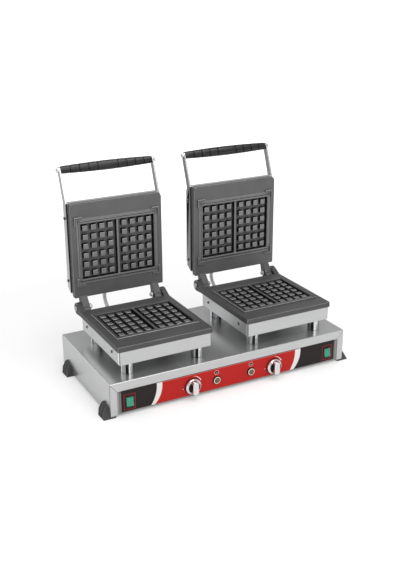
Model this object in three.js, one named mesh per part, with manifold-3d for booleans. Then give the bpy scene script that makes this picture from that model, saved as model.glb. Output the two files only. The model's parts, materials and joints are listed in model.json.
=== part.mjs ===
// Double waffle maker: one stainless steel base box with two hinged pairs of cast iron waffle plates.
// Millimetres, +Z up. X runs along the base, Y from the control panel to the back.
// Sizes are laid out from the middle of the base in X, its front face in Y and the table in Z,
// and the finished group is moved in Y alone, so that its origin is the middle of its own footprint.
import * as THREE from 'three';
import { mergeVertices } from 'three/addons/utils/BufferGeometryUtils.js';
import Module from 'manifold-3d';

const wasm = await Module();
wasm.setup();

// Sizes shared by many pieces.
const sheet = 1.5;
const seat = 0.3;
const overrun = 3;
const weld = 0.0001;

// The base box, folded from sheet, and the feet that carry it.
const base = {
  length: 650,
  depth: 318,
  height: 82,
  bend: 2,
  frameTop: 22,
  frameSide: 18,
  ventLength: 46,
  ventWidth: 5,
  ventPitch: 16,
  ventCount: 5,
  wireHole: 5,
  unitPitchShare: 0.52246,
};
const foot = {
  thickness: 5,
  height: 39,
  length: 38,
  topLength: 14,
  topSetBack: 16,
  flare: 18,
  topProud: 8,
  tuckedUnder: 14,
  rearInset: 34,
};

// The control panel: one of each control to the left and right of the middle.
const panel = {
  labelThickness: 0.6,
  labelEdge: 5.5,
  labelTopGap: 0.6,
  labelBottomGap: 4.5,
  controlHeight: 33,
  switchFromEnd: 49,
  dialShare: 0.3492,
  lampShare: 0.1477,
};
const rocker = {
  halfWidth: 8.8,
  halfHeight: 11,
  tilt: 8,
  valleyDepth: 5,
  shoulder: 1,
  shoulderHalf: 10.2,
  heelDepth: 4,
  heelHalf: 4,
  pivotDepth: 5,
  sideGap: 0.5,
  endGap: 1.3,
};
const housing = { flangeBorder: 2.2, flange: 2, bodyBorder: 1.5, depth: 22, cavityDepth: 11 };
const dial = {
  radius: 20,
  skirt: 6,
  standOff: 1,
  crown: 9,
  crownRadius: 16,
  reach: 19,
  barWidth: 17,
  barTopWidth: 15,
  barLength: 36,
  barTopLength: 33,
  stem: 3,
  stemLength: 16,
};
const thermostat = { radius: 19, length: 24, bossRadius: 7, bossLength: 3, bore: 3.6, boreDepth: 20 };
const lamp = {
  ringRadius: 10,
  ringThickness: 3.4,
  barrelRadius: 7.4,
  barrelLength: 22,
  bore: 6.2,
  domeRise: 3,
  domeRings: 4,
};
const terminal = { length: 64, depth: 22, height: 20, fromEnd: 110, fromBack: 34, ways: 4, slot: 4, slotDepth: 7 };
const gland = {
  fromEnd: 110,
  height: 34,
  radius: 12,
  flange: 5,
  nose: 9.4,
  noseTip: 7.6,
  noseLength: 14,
  barrel: 8,
  bore: 4.6,
};

// One baking unit, measured from its own middle in X.
const leg = { radius: 15, wall: 2, fromMiddle: 91, front: 45, rear: 235 };
const tray = { width: 237.2, height: 34, bottom: 116, frontOverhang: 3, rearOverhang: 4.5 };
const plate = {
  side: 245,
  thickness: 13.2,
  front: 19.5,
  corner: 2.5,
  lidCorner: 10,
  faceGap: 6.3,
  wellMiddle: 120.5,
};
// The sunk wells and the rows of square studs that stand in them.
const well = {
  columns: 4,
  rows: 6,
  pitchAcross: 22.4,
  pitchAlong: 23.7,
  innerColumn: 18.5,
  depth: 8.8,
  floor: 9.2,
  wallDraft: 1.2,
  wallGap: 4.1,
  endGap: 3.9,
  studBase: 15.2,
  studTop: 13,
  studBelowRim: 1.6,
  dividerBase: 8,
  dividerBelowRim: 1.2,
  bellyMargin: 5,
};
const rim = { lowerHeight: 3.6, across: 10.6, along: 13.2, lidSetBack: 4, draft: 1 };
const locator = { gap: 0.7, width: 5, length: 21, height: 5, ledge: 0.8, ledgeReach: 5 };
const rail = { width: 6, depth: 24, margin: 0.6, fromHinge: 26, length: 205 };

// The hinge. The pin line lies behind the plates, set below the closed lid's face.
const hinge = {
  behindPlate: 24,
  belowLidFace: 7.2,
  pin: 4,
  earRadius: 15,
  earWidth: 14,
  earRun: 7,
  lugRadius: 13,
  lugWidth: 18.5,
  lugRoot: 3,
  sideGap: 0.5,
  stopRadius: 9,
  stopTop: 5.5,
  stopHeight: 6,
  headRadius: 6.8,
  headThickness: 4.2,
  nutRadius: 7.2,
  nutThickness: 6,
  threadEnd: 3,
};

// The lid's cover, arms and grip, measured from the pin line of the open lid.
const cover = {
  depth: 36,
  flatTop: 16,
  topDrop: 18,
  topMargin: 1,
  bottomMargin: 3,
  bottomRise: 26,
  sideMargin: 0.5,
};
const arm = {
  thickness: 4,
  width: 12,
  backSet: 17.2,
  foot: 34,
  bend: 266,
  gripBack: 62.5,
  gripUp: 341.7,
  eye: 8,
  upperScrew: 226.7,
  lowerScrew: 63.7,
};
const grip = {
  midRadius: 12.2,
  endRadius: 9.2,
  middleSegment: 54,
  shortSegments: 4,
  groove: 2.2,
  grooveDepth: 1.6,
  rod: 4,
  nutRadius: 7,
  nutLength: 6,
};
const screw = { shank: 2.5, head: 5, headTop: 3.6, headThickness: 3, grip: 8 };
const trayScrew = { front: 43.5, rear: 203.5, drop: 14.5 };

// The flexible lead of each lid: where it leaves the base, and where it enters the cover.
const lead = {
  radius: 5,
  across: [-22, -43],
  fromBack: 13,
  bowBehind: 32,
  bowHeight: 152,
  coverDepth: 20,
  ferrule: 7.5,
  ferruleLength: 11,
  flange: 10,
  flangeThickness: 3,
  straight: 9,
  barrel: 8,
  steps: 14,
};
const element = { radius: 3.6, bendRadius: 52, length: 150, tail: 12, bendSteps: 6, steps: 14 };

// Facet counts.
const facets = { pin: 8, hoop: 12, dial: 16, tube: 6, bend: 2, corner: 2 };

// Derived heights and places.
const baseBottom = foot.thickness;
const baseTop = baseBottom + base.height;
const halfBase = base.length / 2;
const unitPitch = base.length * base.unitPitchShare;
const switchX = halfBase - panel.switchFromEnd;
const dialX = halfBase * panel.dialShare;
const lampX = halfBase * panel.lampShare;
const glandX = halfBase - gland.fromEnd;
const terminalX = halfBase - terminal.fromEnd;
const plateBottom = tray.bottom + tray.height;
const plateFace = plateBottom + plate.thickness;
const plateRear = plate.front + plate.side;
const halfPlate = plate.side / 2;
const pinY = plateRear + hinge.behindPlate;
const pinZ = plateFace + plate.faceGap - hinge.belowLidFace;
const lidRimHeight = plate.faceGap - rim.lowerHeight - seat;
const leadBack = base.depth - lead.fromBack;
const leadBow = base.depth + lead.bowBehind;
const coverHalf = halfPlate - cover.sideMargin;
const armInner = halfPlate - cover.sideMargin + seat;
const armOuter = armInner + arm.thickness;
const coverBack = hinge.belowLidFace + plate.thickness + seat;
const armMiddle = hinge.belowLidFace + plate.thickness + arm.backSet;
const trayHalf = tray.width / 2;
const trayFront = plate.front + tray.frontOverhang;
const trayRear = plateRear - tray.rearOverhang;
const panelFront = sheet + seat;
const labelFront = panelFront - seat - panel.labelThickness;
const wellHalfAlong = ((well.rows - 1) * well.pitchAlong + well.studBase) / 2 + well.endGap;
const wellOuter = well.innerColumn + (well.columns - 1) * well.pitchAcross + well.studBase / 2 + well.wallGap;

const colours = {
  steel: { color: 0xbfc1c3, roughness: 0.34, metalness: 1 },
  polished: { color: 0xdadcde, roughness: 0.14, metalness: 1 },
  iron: { color: 0x4a4a4b, roughness: 0.62, metalness: 0.35 },
  dark: { color: 0x2b2a2a, roughness: 0.45, metalness: 0 },
  bakelite: { color: 0x2c2c2d, roughness: 0.4, metalness: 0 },
  rubber: { color: 0x2e2e2f, roughness: 0.8, metalness: 0 },
  red: { color: 0xb92a22, roughness: 0.35, metalness: 0 },
  green: { color: 0x3fae86, roughness: 0.3, metalness: 0 },
  amber: { color: 0x8d6a2c, roughness: 0.2, metalness: 0 },
  grey: { color: 0x9a9c9e, roughness: 0.5, metalness: 0.2 },
};

// Turns a three.js geometry into a closed solid with shared corners and faces that point out.
function solidFrom(geometry) {
  const bare = new THREE.BufferGeometry();
  const source = geometry.index ? geometry.toNonIndexed() : geometry;
  bare.setAttribute('position', source.attributes.position.clone());
  const merged = mergeVertices(bare, weld);
  const places = merged.attributes.position.array;
  const index = merged.index.array;
  const corners = [];
  let volume = 0;
  for (let i = 0; i < index.length; i += 3) {
    const [a, b, c] = [index[i], index[i + 1], index[i + 2]];
    if (a === b || b === c || c === a) continue;
    corners.push(a, b, c);
    const [p, q, r] = [a, b, c].map((k) => new THREE.Vector3().fromArray(places, 3 * k));
    volume += p.dot(q.cross(r));
  }
  if (volume < 0) corners.reverse();
  return new wasm.Manifold(
    new wasm.Mesh({
      numProp: 3,
      vertProperties: new Float32Array(places),
      triVerts: new Uint32Array(corners),
    }),
  );
}

// Joins any number of solids into one.
function join(first, ...others) {
  return others.reduce((whole, piece) => whole.add(piece), first);
}

// Cuts any number of solids out of the first.
function cut(first, ...tools) {
  return tools.reduce((whole, tool) => whole.subtract(tool), first);
}

// The same solid, moved.
function moved(solid, x, y, z) {
  return solid.translate([x, y, z]);
}

// A box between two values on each axis.
function block([x0, x1], [y0, y1], [z0, z1]) {
  const geometry = new THREE.BoxGeometry(x1 - x0, y1 - y0, z1 - z0);
  geometry.translate((x0 + x1) / 2, (y0 + y1) / 2, (z0 + z1) / 2);
  return solidFrom(geometry);
}

// A straight-sided form between two rectangles that lie level, one above the other.
function tapered(low, high) {
  const ring = ({ x, y, z }) => [
    [x[0], y[0], z],
    [x[1], y[0], z],
    [x[1], y[1], z],
    [x[0], y[1], z],
  ];
  const places = [...ring(low), ...ring(high)];
  const faces = [0, 2, 1, 0, 3, 2, 4, 5, 6, 4, 6, 7];
  for (let i = 0; i < 4; i += 1) {
    const next = (i + 1) % 4;
    faces.push(i, next, next + 4, i, next + 4, i + 4);
  }
  const geometry = new THREE.BufferGeometry();
  geometry.setAttribute('position', new THREE.Float32BufferAttribute(places.flat(), 3));
  geometry.setIndex(faces);
  return solidFrom(geometry);
}

// A rectangle around a middle, for tapered forms.
function rectangle(x, y, halfX, halfY, z) {
  return { x: [x - halfX, x + halfX], y: [y - halfY, y + halfY], z };
}

// How an extrusion's own axes lie in the part: first two for its outline, third for its length.
const X = new THREE.Vector3(1, 0, 0);
const Y = new THREE.Vector3(0, 1, 0);
const Z = new THREE.Vector3(0, 0, 1);
const lies = {
  alongX: new THREE.Matrix4().makeBasis(Y, Z, X),
  alongY: new THREE.Matrix4().makeBasis(Z, X, Y),
  alongZ: new THREE.Matrix4(),
};

// An outline carried from one value to another along an axis.
function prism(outline, [from, to], lie) {
  const shape = new THREE.Shape(outline.map(([s, t]) => new THREE.Vector2(s, t)));
  const geometry = new THREE.ExtrudeGeometry(shape, { depth: to - from, bevelEnabled: false });
  geometry.translate(0, 0, from);
  geometry.applyMatrix4(lie);
  return solidFrom(geometry);
}

// A profile of [radius, place] points turned about an axis.
function turned(profile, lie, sides = facets.hoop) {
  const points = profile.map(([radius, place]) => new THREE.Vector2(radius, place));
  const geometry = new THREE.LatheGeometry(points, sides);
  geometry.rotateX(Math.PI / 2);
  geometry.applyMatrix4(lie);
  return solidFrom(geometry);
}

// A plain round bar or drill between two places along an axis.
function rod(radius, [from, to], lie, sides = facets.pin) {
  return turned([[0, from], [radius, from], [radius, to], [0, to]], lie, sides);
}

// Points round a circle, as an outline.
function circle(s, t, radius, sides = facets.dial) {
  return Array.from({ length: sides }, (_, i) => {
    const angle = (2 * Math.PI * i) / sides;
    return [s + radius * Math.cos(angle), t + radius * Math.sin(angle)];
  });
}

// A rectangle's outline with its own radius at each corner, anticlockwise from the far right one.
function roundedRectangle([x0, x1], [y0, y1], radii, steps) {
  const corners = [
    [x1, y1, -1, -1],
    [x0, y1, 1, -1],
    [x0, y0, 1, 1],
    [x1, y0, -1, 1],
  ];
  return corners.flatMap(([x, y, inX, inY], quarter) =>
    Array.from({ length: steps + 1 }, (_, i) => {
      const angle = (Math.PI / 2) * (quarter + i / steps);
      const radius = radii[quarter];
      return [x + radius * (inX + Math.cos(angle)), y + radius * (inY + Math.sin(angle))];
    }),
  );
}

// The outline of a tight band round a set of points.
function band(points) {
  const sorted = [...points].sort((p, q) => p[0] - q[0] || p[1] - q[1]);
  const turn = (o, p, q) => (p[0] - o[0]) * (q[1] - o[1]) - (p[1] - o[1]) * (q[0] - o[0]);
  const half = (list) => {
    const chain = [];
    for (const point of list) {
      while (chain.length > 1 && turn(chain.at(-2), chain.at(-1), point) <= 0) chain.pop();
      chain.push(point);
    }
    chain.pop();
    return chain;
  };
  return [...half(sorted), ...half(sorted.reverse())];
}

// An outline moved inwards by the same distance on every side; it runs anticlockwise.
function inset(outline, distance) {
  const count = outline.length;
  const sides = outline.map((start, i) => {
    const end = outline[(i + 1) % count];
    const length = Math.hypot(end[0] - start[0], end[1] - start[1]);
    const along = [(end[0] - start[0]) / length, (end[1] - start[1]) / length];
    return { along, through: [start[0] - along[1] * distance, start[1] + along[0] * distance] };
  });
  return sides.map((side, i) => {
    const before = sides[(i + count - 1) % count];
    const across = before.along[0] * side.along[1] - before.along[1] * side.along[0];
    const [dx, dy] = [side.through[0] - before.through[0], side.through[1] - before.through[1]];
    const run = (dx * side.along[1] - dy * side.along[0]) / across;
    return [before.through[0] + before.along[0] * run, before.through[1] + before.along[1] * run];
  });
}

// A round tube along a smooth curve through points.
function tubeAlong(points, radius, steps, sides = facets.tube) {
  const shape = new THREE.Shape(circle(0, 0, radius, sides).map(([s, t]) => new THREE.Vector2(s, t)));
  const extrudePath = new THREE.CatmullRomCurve3(points.map((p) => new THREE.Vector3(...p)), false, 'centripetal');
  return solidFrom(new THREE.ExtrudeGeometry(shape, { steps, extrudePath, bevelEnabled: false }));
}

// A named sub-part with its own material.
function part(name, solid, colour) {
  const mesh = solid.getMesh();
  const geometry = new THREE.BufferGeometry();
  geometry.setAttribute('position', new THREE.BufferAttribute(mesh.vertProperties, 3));
  geometry.setIndex(new THREE.BufferAttribute(mesh.triVerts, 1));
  geometry.computeVertexNormals();
  const piece = new THREE.Mesh(geometry, new THREE.MeshStandardMaterial(colour));
  piece.name = name;
  return piece;
}

// The names of the two sides, and the places of the waffle units on them.
const sidesOfPanel = [
  { name: 'left', side: -1 },
  { name: 'right', side: 1 },
];
const units = sidesOfPanel.map(({ name, side }, i) => ({
  name,
  outward: side,
  x: (side * unitPitch) / 2,
  leadAcross: lead.across[i],
}));

// The base: a box folded from sheet, open below, with a picture frame round the control panel.
function baseShell() {
  const inner = [-halfBase + sheet, halfBase - sheet];
  const innerDepth = [sheet, base.depth - sheet];
  const outline = roundedRectangle([-halfBase, halfBase], [0, base.depth], Array(4).fill(base.bend), facets.bend);
  const outer = prism(outline, [baseBottom, baseTop], lies.alongZ);
  const hollow = block(inner, innerDepth, [baseBottom - overrun, baseTop - sheet]);
  const opening = block(
    [-halfBase + base.frameSide, halfBase - base.frameSide],
    [-overrun, sheet + overrun],
    [baseBottom - overrun, baseTop - base.frameTop],
  );
  const through = [baseTop - sheet - overrun, baseTop + overrun];
  const holes = units.flatMap(({ x, leadAcross }) => [
    moved(rod(base.wireHole, through, lies.alongZ), x - leg.fromMiddle, leg.rear, 0),
    moved(rod(lead.barrel + seat, through, lies.alongZ, facets.hoop), x + leadAcross, leadBack, 0),
  ]);
  const glandHole = moved(
    rod(gland.barrel + seat, [base.depth - sheet - overrun, base.depth + overrun], lies.alongY, facets.hoop),
    glandX,
    0,
    gland.height,
  );
  return cut(outer, hollow, opening, glandHole, ...holes);
}

// The plate that closes the base from below, with two rows of air slots.
function bottomCover() {
  const lift = baseBottom + seat;
  const slab = block(
    [-halfBase + sheet + seat, halfBase - sheet - seat],
    [panelFront + sheet + seat, base.depth - sheet - seat],
    [lift, lift + sheet],
  );
  const slots = [-1, 1].flatMap((side) =>
    Array.from({ length: base.ventCount }, (_, i) => {
      const x = (side * unitPitch) / 2 + (i - (base.ventCount - 1) / 2) * base.ventPitch;
      return block(
        [x - base.ventWidth / 2, x + base.ventWidth / 2],
        [(base.depth - base.ventLength) / 2, (base.depth + base.ventLength) / 2],
        [lift - overrun, lift + sheet + overrun],
      );
    }),
  );
  return cut(slab, ...slots);
}

// The sizes of the switch body, which the holes in panel and label follow.
const cavityHalf = {
  x: rocker.halfWidth + rocker.sideGap,
  z: rocker.halfHeight + rocker.endGap,
};
const bodyHalf = { x: cavityHalf.x + housing.bodyBorder, z: cavityHalf.z + housing.bodyBorder };
const flangeHalf = { x: cavityHalf.x + housing.flangeBorder, z: cavityHalf.z + housing.flangeBorder };

// Every hole that the controls need, as tools that run from one depth to another.
function controlHoles([from, to]) {
  return sidesOfPanel.flatMap(({ side }) => [
    block(
      [side * switchX - bodyHalf.x - seat, side * switchX + bodyHalf.x + seat],
      [from, to],
      [panel.controlHeight - bodyHalf.z - seat, panel.controlHeight + bodyHalf.z + seat],
    ),
    moved(
      rod(thermostat.bossRadius + seat, [from, to], lies.alongY, facets.hoop),
      side * dialX,
      0,
      panel.controlHeight,
    ),
    moved(
      rod(lamp.barrelRadius + seat, [from, to], lies.alongY, facets.hoop),
      side * lampX,
      0,
      panel.controlHeight,
    ),
  ]);
}

// The sheet behind the frame that carries the controls.
function frontPanel() {
  const slab = block(
    [-halfBase + sheet + seat, halfBase - sheet - seat],
    [panelFront, panelFront + sheet],
    [baseBottom + seat, baseTop - sheet - seat],
  );
  return cut(slab, ...controlHoles([panelFront - overrun, panelFront + sheet + overrun]));
}

// The printed front sheet, which lies in the frame's opening.
function controlLabel() {
  const half = halfBase - base.frameSide - panel.labelEdge;
  const slab = block(
    [-half, half],
    [labelFront, labelFront + panel.labelThickness],
    [baseBottom + panel.labelBottomGap, baseTop - base.frameTop - panel.labelTopGap],
  );
  return cut(slab, ...controlHoles([labelFront - overrun, labelFront + overrun]));
}

// A rubber corner foot: a flared block outside the wall with a pad tucked under the box.
function cornerFoot(side, rear) {
  const start = rear ? base.depth - foot.rearInset - foot.length : 0;
  const wall = halfBase;
  const span = (a, b) => (side > 0 ? [a, b] : [-b, -a]);
  const flared = tapered(
    { x: span(wall - foot.tuckedUnder, wall + foot.flare), y: [start, start + foot.length], z: 0 },
    {
      x: span(wall - foot.tuckedUnder, wall + foot.topProud),
      y: [start + foot.topSetBack, start + foot.topSetBack + foot.topLength],
      z: foot.height,
    },
  );
  const room = block(
    span(wall - foot.tuckedUnder - overrun, wall + seat),
    [-overrun, base.depth + overrun],
    [baseBottom - seat, baseTop],
  );
  return cut(flared, room);
}

// The switch housing: a flange on the label, and a body behind it with a pocket for the rocker.
function switchHousing(side) {
  const x = side * switchX;
  const z = panel.controlHeight;
  const front = labelFront - seat - housing.flange;
  const sized = (half, depth) => block([x - half.x, x + half.x], depth, [z - half.z, z + half.z]);
  const flange = sized(flangeHalf, [front, front + housing.flange]);
  const body = sized(bodyHalf, [front, front + housing.depth]);
  return cut(join(flange, body), sized(cavityHalf, [front - overrun, front + housing.cavityDepth + rocker.pivotDepth]));
}

// The lit rocker: two flat faces that meet in a shallow valley, here as it lies when switched on.
function rockerGeometry() {
  const rise = rocker.halfHeight * Math.tan(THREE.MathUtils.degToRad(rocker.tilt));
  const outline = [
    [-rocker.valleyDepth, 0],
    [-rocker.valleyDepth - rise, -rocker.halfHeight],
    [rocker.shoulder, -rocker.shoulderHalf],
    [rocker.heelDepth, -rocker.heelHalf],
    [rocker.heelDepth, rocker.heelHalf],
    [rocker.shoulder, rocker.shoulderHalf],
    [-rocker.valleyDepth - rise, rocker.halfHeight],
  ];
  return prism(outline, [-rocker.halfWidth, rocker.halfWidth], lies.alongX);
}

// The thermostat behind the panel, with a threaded boss through it and a bore for the dial's stem.
function thermostatBody(side) {
  const back = panelFront + sheet + seat;
  const profile = [
    [0, back + thermostat.length],
    [thermostat.radius, back + thermostat.length],
    [thermostat.radius, back],
    [thermostat.bossRadius, back],
    [thermostat.bossRadius, back - thermostat.bossLength],
    [0, back - thermostat.bossLength],
  ];
  const body = turned(profile, lies.alongY, facets.hoop);
  const bore = rod(thermostat.bore, [back - thermostat.bossLength - overrun, back + thermostat.boreDepth], lies.alongY);
  return moved(cut(body, bore), side * dialX, 0, panel.controlHeight);
}

// The chromed dial: a round skirt and crown, with a thick finger bar across and a stem behind.
function dialKnob() {
  const back = labelFront - dial.standOff;
  const skirt = turned(
    [
      [0, back],
      [dial.radius, back],
      [dial.radius, back - dial.skirt],
      [dial.crownRadius, back - dial.crown],
      [0, back - dial.crown],
    ],
    lies.alongY,
    facets.dial,
  );
  const stadium = (width, length) => {
    const r = width / 2;
    const run = length / 2 - r;
    return band([...circle(run, 0, r), ...circle(-run, 0, r)]);
  };
  const bar = tapered(
    { x: [-dial.barLength / 2, dial.barLength / 2], y: [-dial.barWidth / 2, dial.barWidth / 2], z: 0 },
    {
      x: [-dial.barTopLength / 2, dial.barTopLength / 2],
      y: [-dial.barTopWidth / 2, dial.barTopWidth / 2],
      z: dial.reach - dial.skirt,
    },
  ).intersect(prism(stadium(dial.barWidth, dial.barLength), [-overrun, dial.reach], lies.alongZ));
  const turnedBar = bar.transform(new THREE.Matrix4().makeBasis(Z, X.clone().negate(), Y.clone().negate()).elements);
  const stem = rod(dial.stem, [back - overrun, back + dial.stemLength], lies.alongY);
  return join(skirt, moved(turnedBar, 0, back - dial.skirt, 0), stem);
}

// The bright ring of an indicator lamp and its barrel through the panel.
function lampRing(side) {
  const front = labelFront - seat - lamp.ringThickness;
  const back = labelFront - seat;
  const profile = [
    [lamp.bore, front],
    [lamp.ringRadius - lamp.ringThickness / 2, front],
    [lamp.ringRadius, front + lamp.ringThickness / 2],
    [lamp.ringRadius, back],
    [lamp.barrelRadius, back],
    [lamp.barrelRadius, back + lamp.barrelLength],
    [lamp.bore, back + lamp.barrelLength],
    [lamp.bore, front],
  ];
  return moved(turned(profile, lies.alongY), side * lampX, 0, panel.controlHeight);
}

// The lamp's lens: a low dome on a plug inside the ring.
function lampLens(side) {
  const front = labelFront - seat - lamp.ringThickness;
  const radius = lamp.bore - seat;
  const dome = Array.from({ length: lamp.domeRings + 1 }, (_, i) => {
    const angle = (Math.PI / 2) * (i / lamp.domeRings);
    return [radius * Math.sin(angle), front + lamp.domeRise * (1 - Math.cos(angle)) - lamp.domeRise / 2];
  });
  const back = front + lamp.ringThickness + lamp.barrelLength / 2;
  return moved(
    turned([...dome, [radius, back], [0, back]], lies.alongY, facets.hoop),
    side * lampX,
    0,
    panel.controlHeight,
  );
}

// The terminal block, where the mains lead would be joined, with a slot for each way.
function terminalBlock() {
  const floor = baseBottom + seat + sheet + seat;
  const back = base.depth - terminal.fromBack;
  const x0 = terminalX - terminal.length / 2;
  const body = block([x0, x0 + terminal.length], [back - terminal.depth, back], [floor, floor + terminal.height]);
  const pitch = terminal.length / terminal.ways;
  const slots = Array.from({ length: terminal.ways - 1 }, (_, i) => {
    const x = x0 + (i + 1) * pitch;
    return block(
      [x - terminal.slot / 2, x + terminal.slot / 2],
      [back - terminal.depth - overrun, back + overrun],
      [floor + terminal.height - terminal.slotDepth, floor + terminal.height + overrun],
    );
  });
  return cut(body, ...slots);
}

// The gland in the back wall that the mains lead goes through.
function cableGland() {
  const wall = base.depth + seat;
  const inside = base.depth - sheet - gland.flange;
  const profile = [
    [gland.bore, inside],
    [gland.barrel, inside],
    [gland.barrel, wall],
    [gland.radius, wall],
    [gland.radius, wall + gland.flange],
    [gland.nose, wall + gland.flange],
    [gland.noseTip, wall + gland.noseLength],
    [gland.bore, wall + gland.noseLength],
    [gland.bore, inside],
  ];
  return moved(turned(profile, lies.alongY, facets.pin), glandX, 0, gland.height);
}

// One tubular leg between the base and a tray.
function trayLeg(x, y) {
  const profile = [
    [leg.radius - leg.wall, baseTop + seat],
    [leg.radius, baseTop + seat],
    [leg.radius, tray.bottom - seat],
    [leg.radius - leg.wall, tray.bottom - seat],
    [leg.radius - leg.wall, baseTop + seat],
  ];
  return moved(turned(profile, lies.alongZ), x, y, 0);
}

// The steel tray that holds a lower plate, open above, with a wire hole over one leg.
// Its four side screws are part of it, because they are fixed in its walls.
function plateTray() {
  const outer = block([-trayHalf, trayHalf], [trayFront, trayRear], [tray.bottom, plateBottom - seat]);
  const inner = block(
    [-trayHalf + sheet, trayHalf - sheet],
    [trayFront + sheet, trayRear - sheet],
    [tray.bottom + sheet, plateBottom + overrun],
  );
  const wire = moved(
    rod(base.wireHole, [tray.bottom - overrun, tray.bottom + sheet + overrun], lies.alongZ),
    -leg.fromMiddle,
    leg.rear,
    0,
  );
  const screws = [-1, 1].flatMap((side) =>
    [trayScrew.front, trayScrew.rear].map((run) =>
      moved(sideScrew(side, screw.grip), side * trayHalf, trayFront + run, plateBottom - trayScrew.drop),
    ),
  );
  return join(cut(outer, inner, wire), ...screws);
}

// A domed screw that points inwards along X, with its head's seat at zero.
function sideScrew(side, gripLength) {
  const profile = [
    [0, -gripLength],
    [screw.shank, -gripLength],
    [screw.shank, 0],
    [screw.head, 0],
    [screw.headTop, screw.headThickness],
    [0, screw.headThickness],
  ];
  const facing = profile.map(([radius, place]) => [radius, side * place]);
  return turned(facing, lies.alongX, facets.pin);
}

// One cast plate in its own frame: X across, Y away from the hinge edge, Z out of its cooking face.
// The slab has a raised rim, on a low ledge where one is given, two sunk wells full of square studs,
// and a divider between them.
function waffleCasting({ rimHeight, rimInset, ledge, farRadius, railOuter, boreHeights, boreDepth }) {
  const radii = [farRadius, farRadius, plate.corner, plate.corner];
  const outline = roundedRectangle([-halfPlate, halfPlate], [0, plate.side], radii, facets.corner);
  const slab = prism(outline, [-plate.thickness, 0], lies.alongZ);
  const middle = plate.wellMiddle;
  const rimHalf = { x: wellOuter + rim.across - rimInset, y: wellHalfAlong + rim.along - rimInset };
  const frame = tapered(
    rectangle(0, middle, rimHalf.x, rimHalf.y, -overrun),
    rectangle(0, middle, rimHalf.x - rim.draft, rimHalf.y - rim.draft, rimHeight),
  );
  const ledgeHalf = { x: rimHalf.x + locator.ledgeReach, y: rimHalf.y + locator.ledgeReach };
  const ledgeStep = block([-ledgeHalf.x, ledgeHalf.x], [middle - ledgeHalf.y, middle + ledgeHalf.y], [-overrun, ledge]);
  const raised = ledge > 0 ? [ledgeStep, frame] : [frame];
  const bellyHalf = { x: wellOuter + well.bellyMargin, y: wellHalfAlong + well.bellyMargin };
  const belly = block(
    [-bellyHalf.x, bellyHalf.x],
    [middle - bellyHalf.y, middle + bellyHalf.y],
    [-well.depth - well.floor, -plate.thickness + overrun],
  );
  const rails = [-1, 1].map((side) => {
    const ends = [side * railOuter, side * (railOuter - rail.width)].sort((a, b) => a - b);
    return block(ends, [rail.fromHinge, rail.fromHinge + rail.length], [-plate.thickness - rail.depth, -overrun]);
  });
  const inner = well.dividerBase / 2;
  const wells = [-1, 1].map((side) => {
    const low = [side * inner, side * wellOuter].sort((a, b) => a - b);
    const high = [side * (inner - well.wallDraft), side * (wellOuter + well.wallDraft)].sort((a, b) => a - b);
    const lean = (well.wallDraft * (rimHeight + overrun)) / well.depth;
    return tapered(
      { x: low, y: [middle - wellHalfAlong, middle + wellHalfAlong], z: -well.depth },
      {
        x: [high[0] - (side > 0 ? 0 : lean), high[1] + (side > 0 ? lean : 0)],
        y: [middle - wellHalfAlong - well.wallDraft, middle + wellHalfAlong + well.wallDraft],
        z: rimHeight + overrun,
      },
    );
  });
  const dividerCut = block(
    [-inner - overrun, inner + overrun],
    [middle - wellHalfAlong, middle + wellHalfAlong],
    [rimHeight - well.dividerBelowRim, rimHeight + overrun],
  );
  const studs = [-1, 1].flatMap((side) =>
    Array.from({ length: well.columns * well.rows }, (_, i) => {
      const column = i % well.columns;
      const row = Math.floor(i / well.columns);
      const x = side * (well.innerColumn + column * well.pitchAcross);
      const y = middle + (row - (well.rows - 1) / 2) * well.pitchAlong;
      return tapered(
        rectangle(x, y, well.studBase / 2, well.studBase / 2, -well.depth - well.floor / 2),
        rectangle(x, y, well.studTop / 2, well.studTop / 2, rimHeight - well.studBelowRim),
      );
    }),
  );
  const bores = boreHeights.flatMap((y) =>
    [-1, 1].map((side) => {
      const ends = [side * (railOuter - rail.width - overrun), side * (railOuter + overrun)].sort((a, b) => a - b);
      return moved(rod(screw.shank + seat, ends, lies.alongX), 0, y, -plate.thickness - boreDepth);
    }),
  );
  return cut(join(cut(join(slab, belly, ...raised, ...rails), dividerCut, ...wells), ...studs), ...bores);
}

// Where the pin line lies in each plate's own frame.
const pinInLower = [-hinge.behindPlate, pinZ - plateFace];
const pinInLid = [-hinge.behindPlate, hinge.belowLidFace];

// The lower plate: the casting with two rounded ears at its hinge edge.
function lowerPlate() {
  const casting = waffleCasting({
    rimHeight: rim.lowerHeight,
    rimInset: 0,
    ledge: 0,
    farRadius: plate.corner,
    railOuter: trayHalf - sheet - rail.margin,
    boreHeights: [trayScrew.front, trayScrew.rear].map((run) => plateRear - trayFront - run),
    boreDepth: trayScrew.drop,
  });
  const [y, z] = pinInLower;
  const outline = band([
    ...circle(y, z, hinge.earRadius, facets.dial),
    [hinge.earRun, 0],
    [hinge.lugRoot, -plate.thickness],
  ]);
  const ears = [-1, 1].map((side) => {
    const ends = [side * halfPlate, side * (halfPlate - hinge.earWidth)].sort((a, b) => a - b);
    return prism(outline, ends, lies.alongX);
  });
  const through = [-halfPlate - overrun, halfPlate + overrun];
  const bore = moved(rod(hinge.pin + seat, through, lies.alongX, facets.hoop), 0, y, z);
  return cut(join(casting, ...ears), bore);
}

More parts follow.
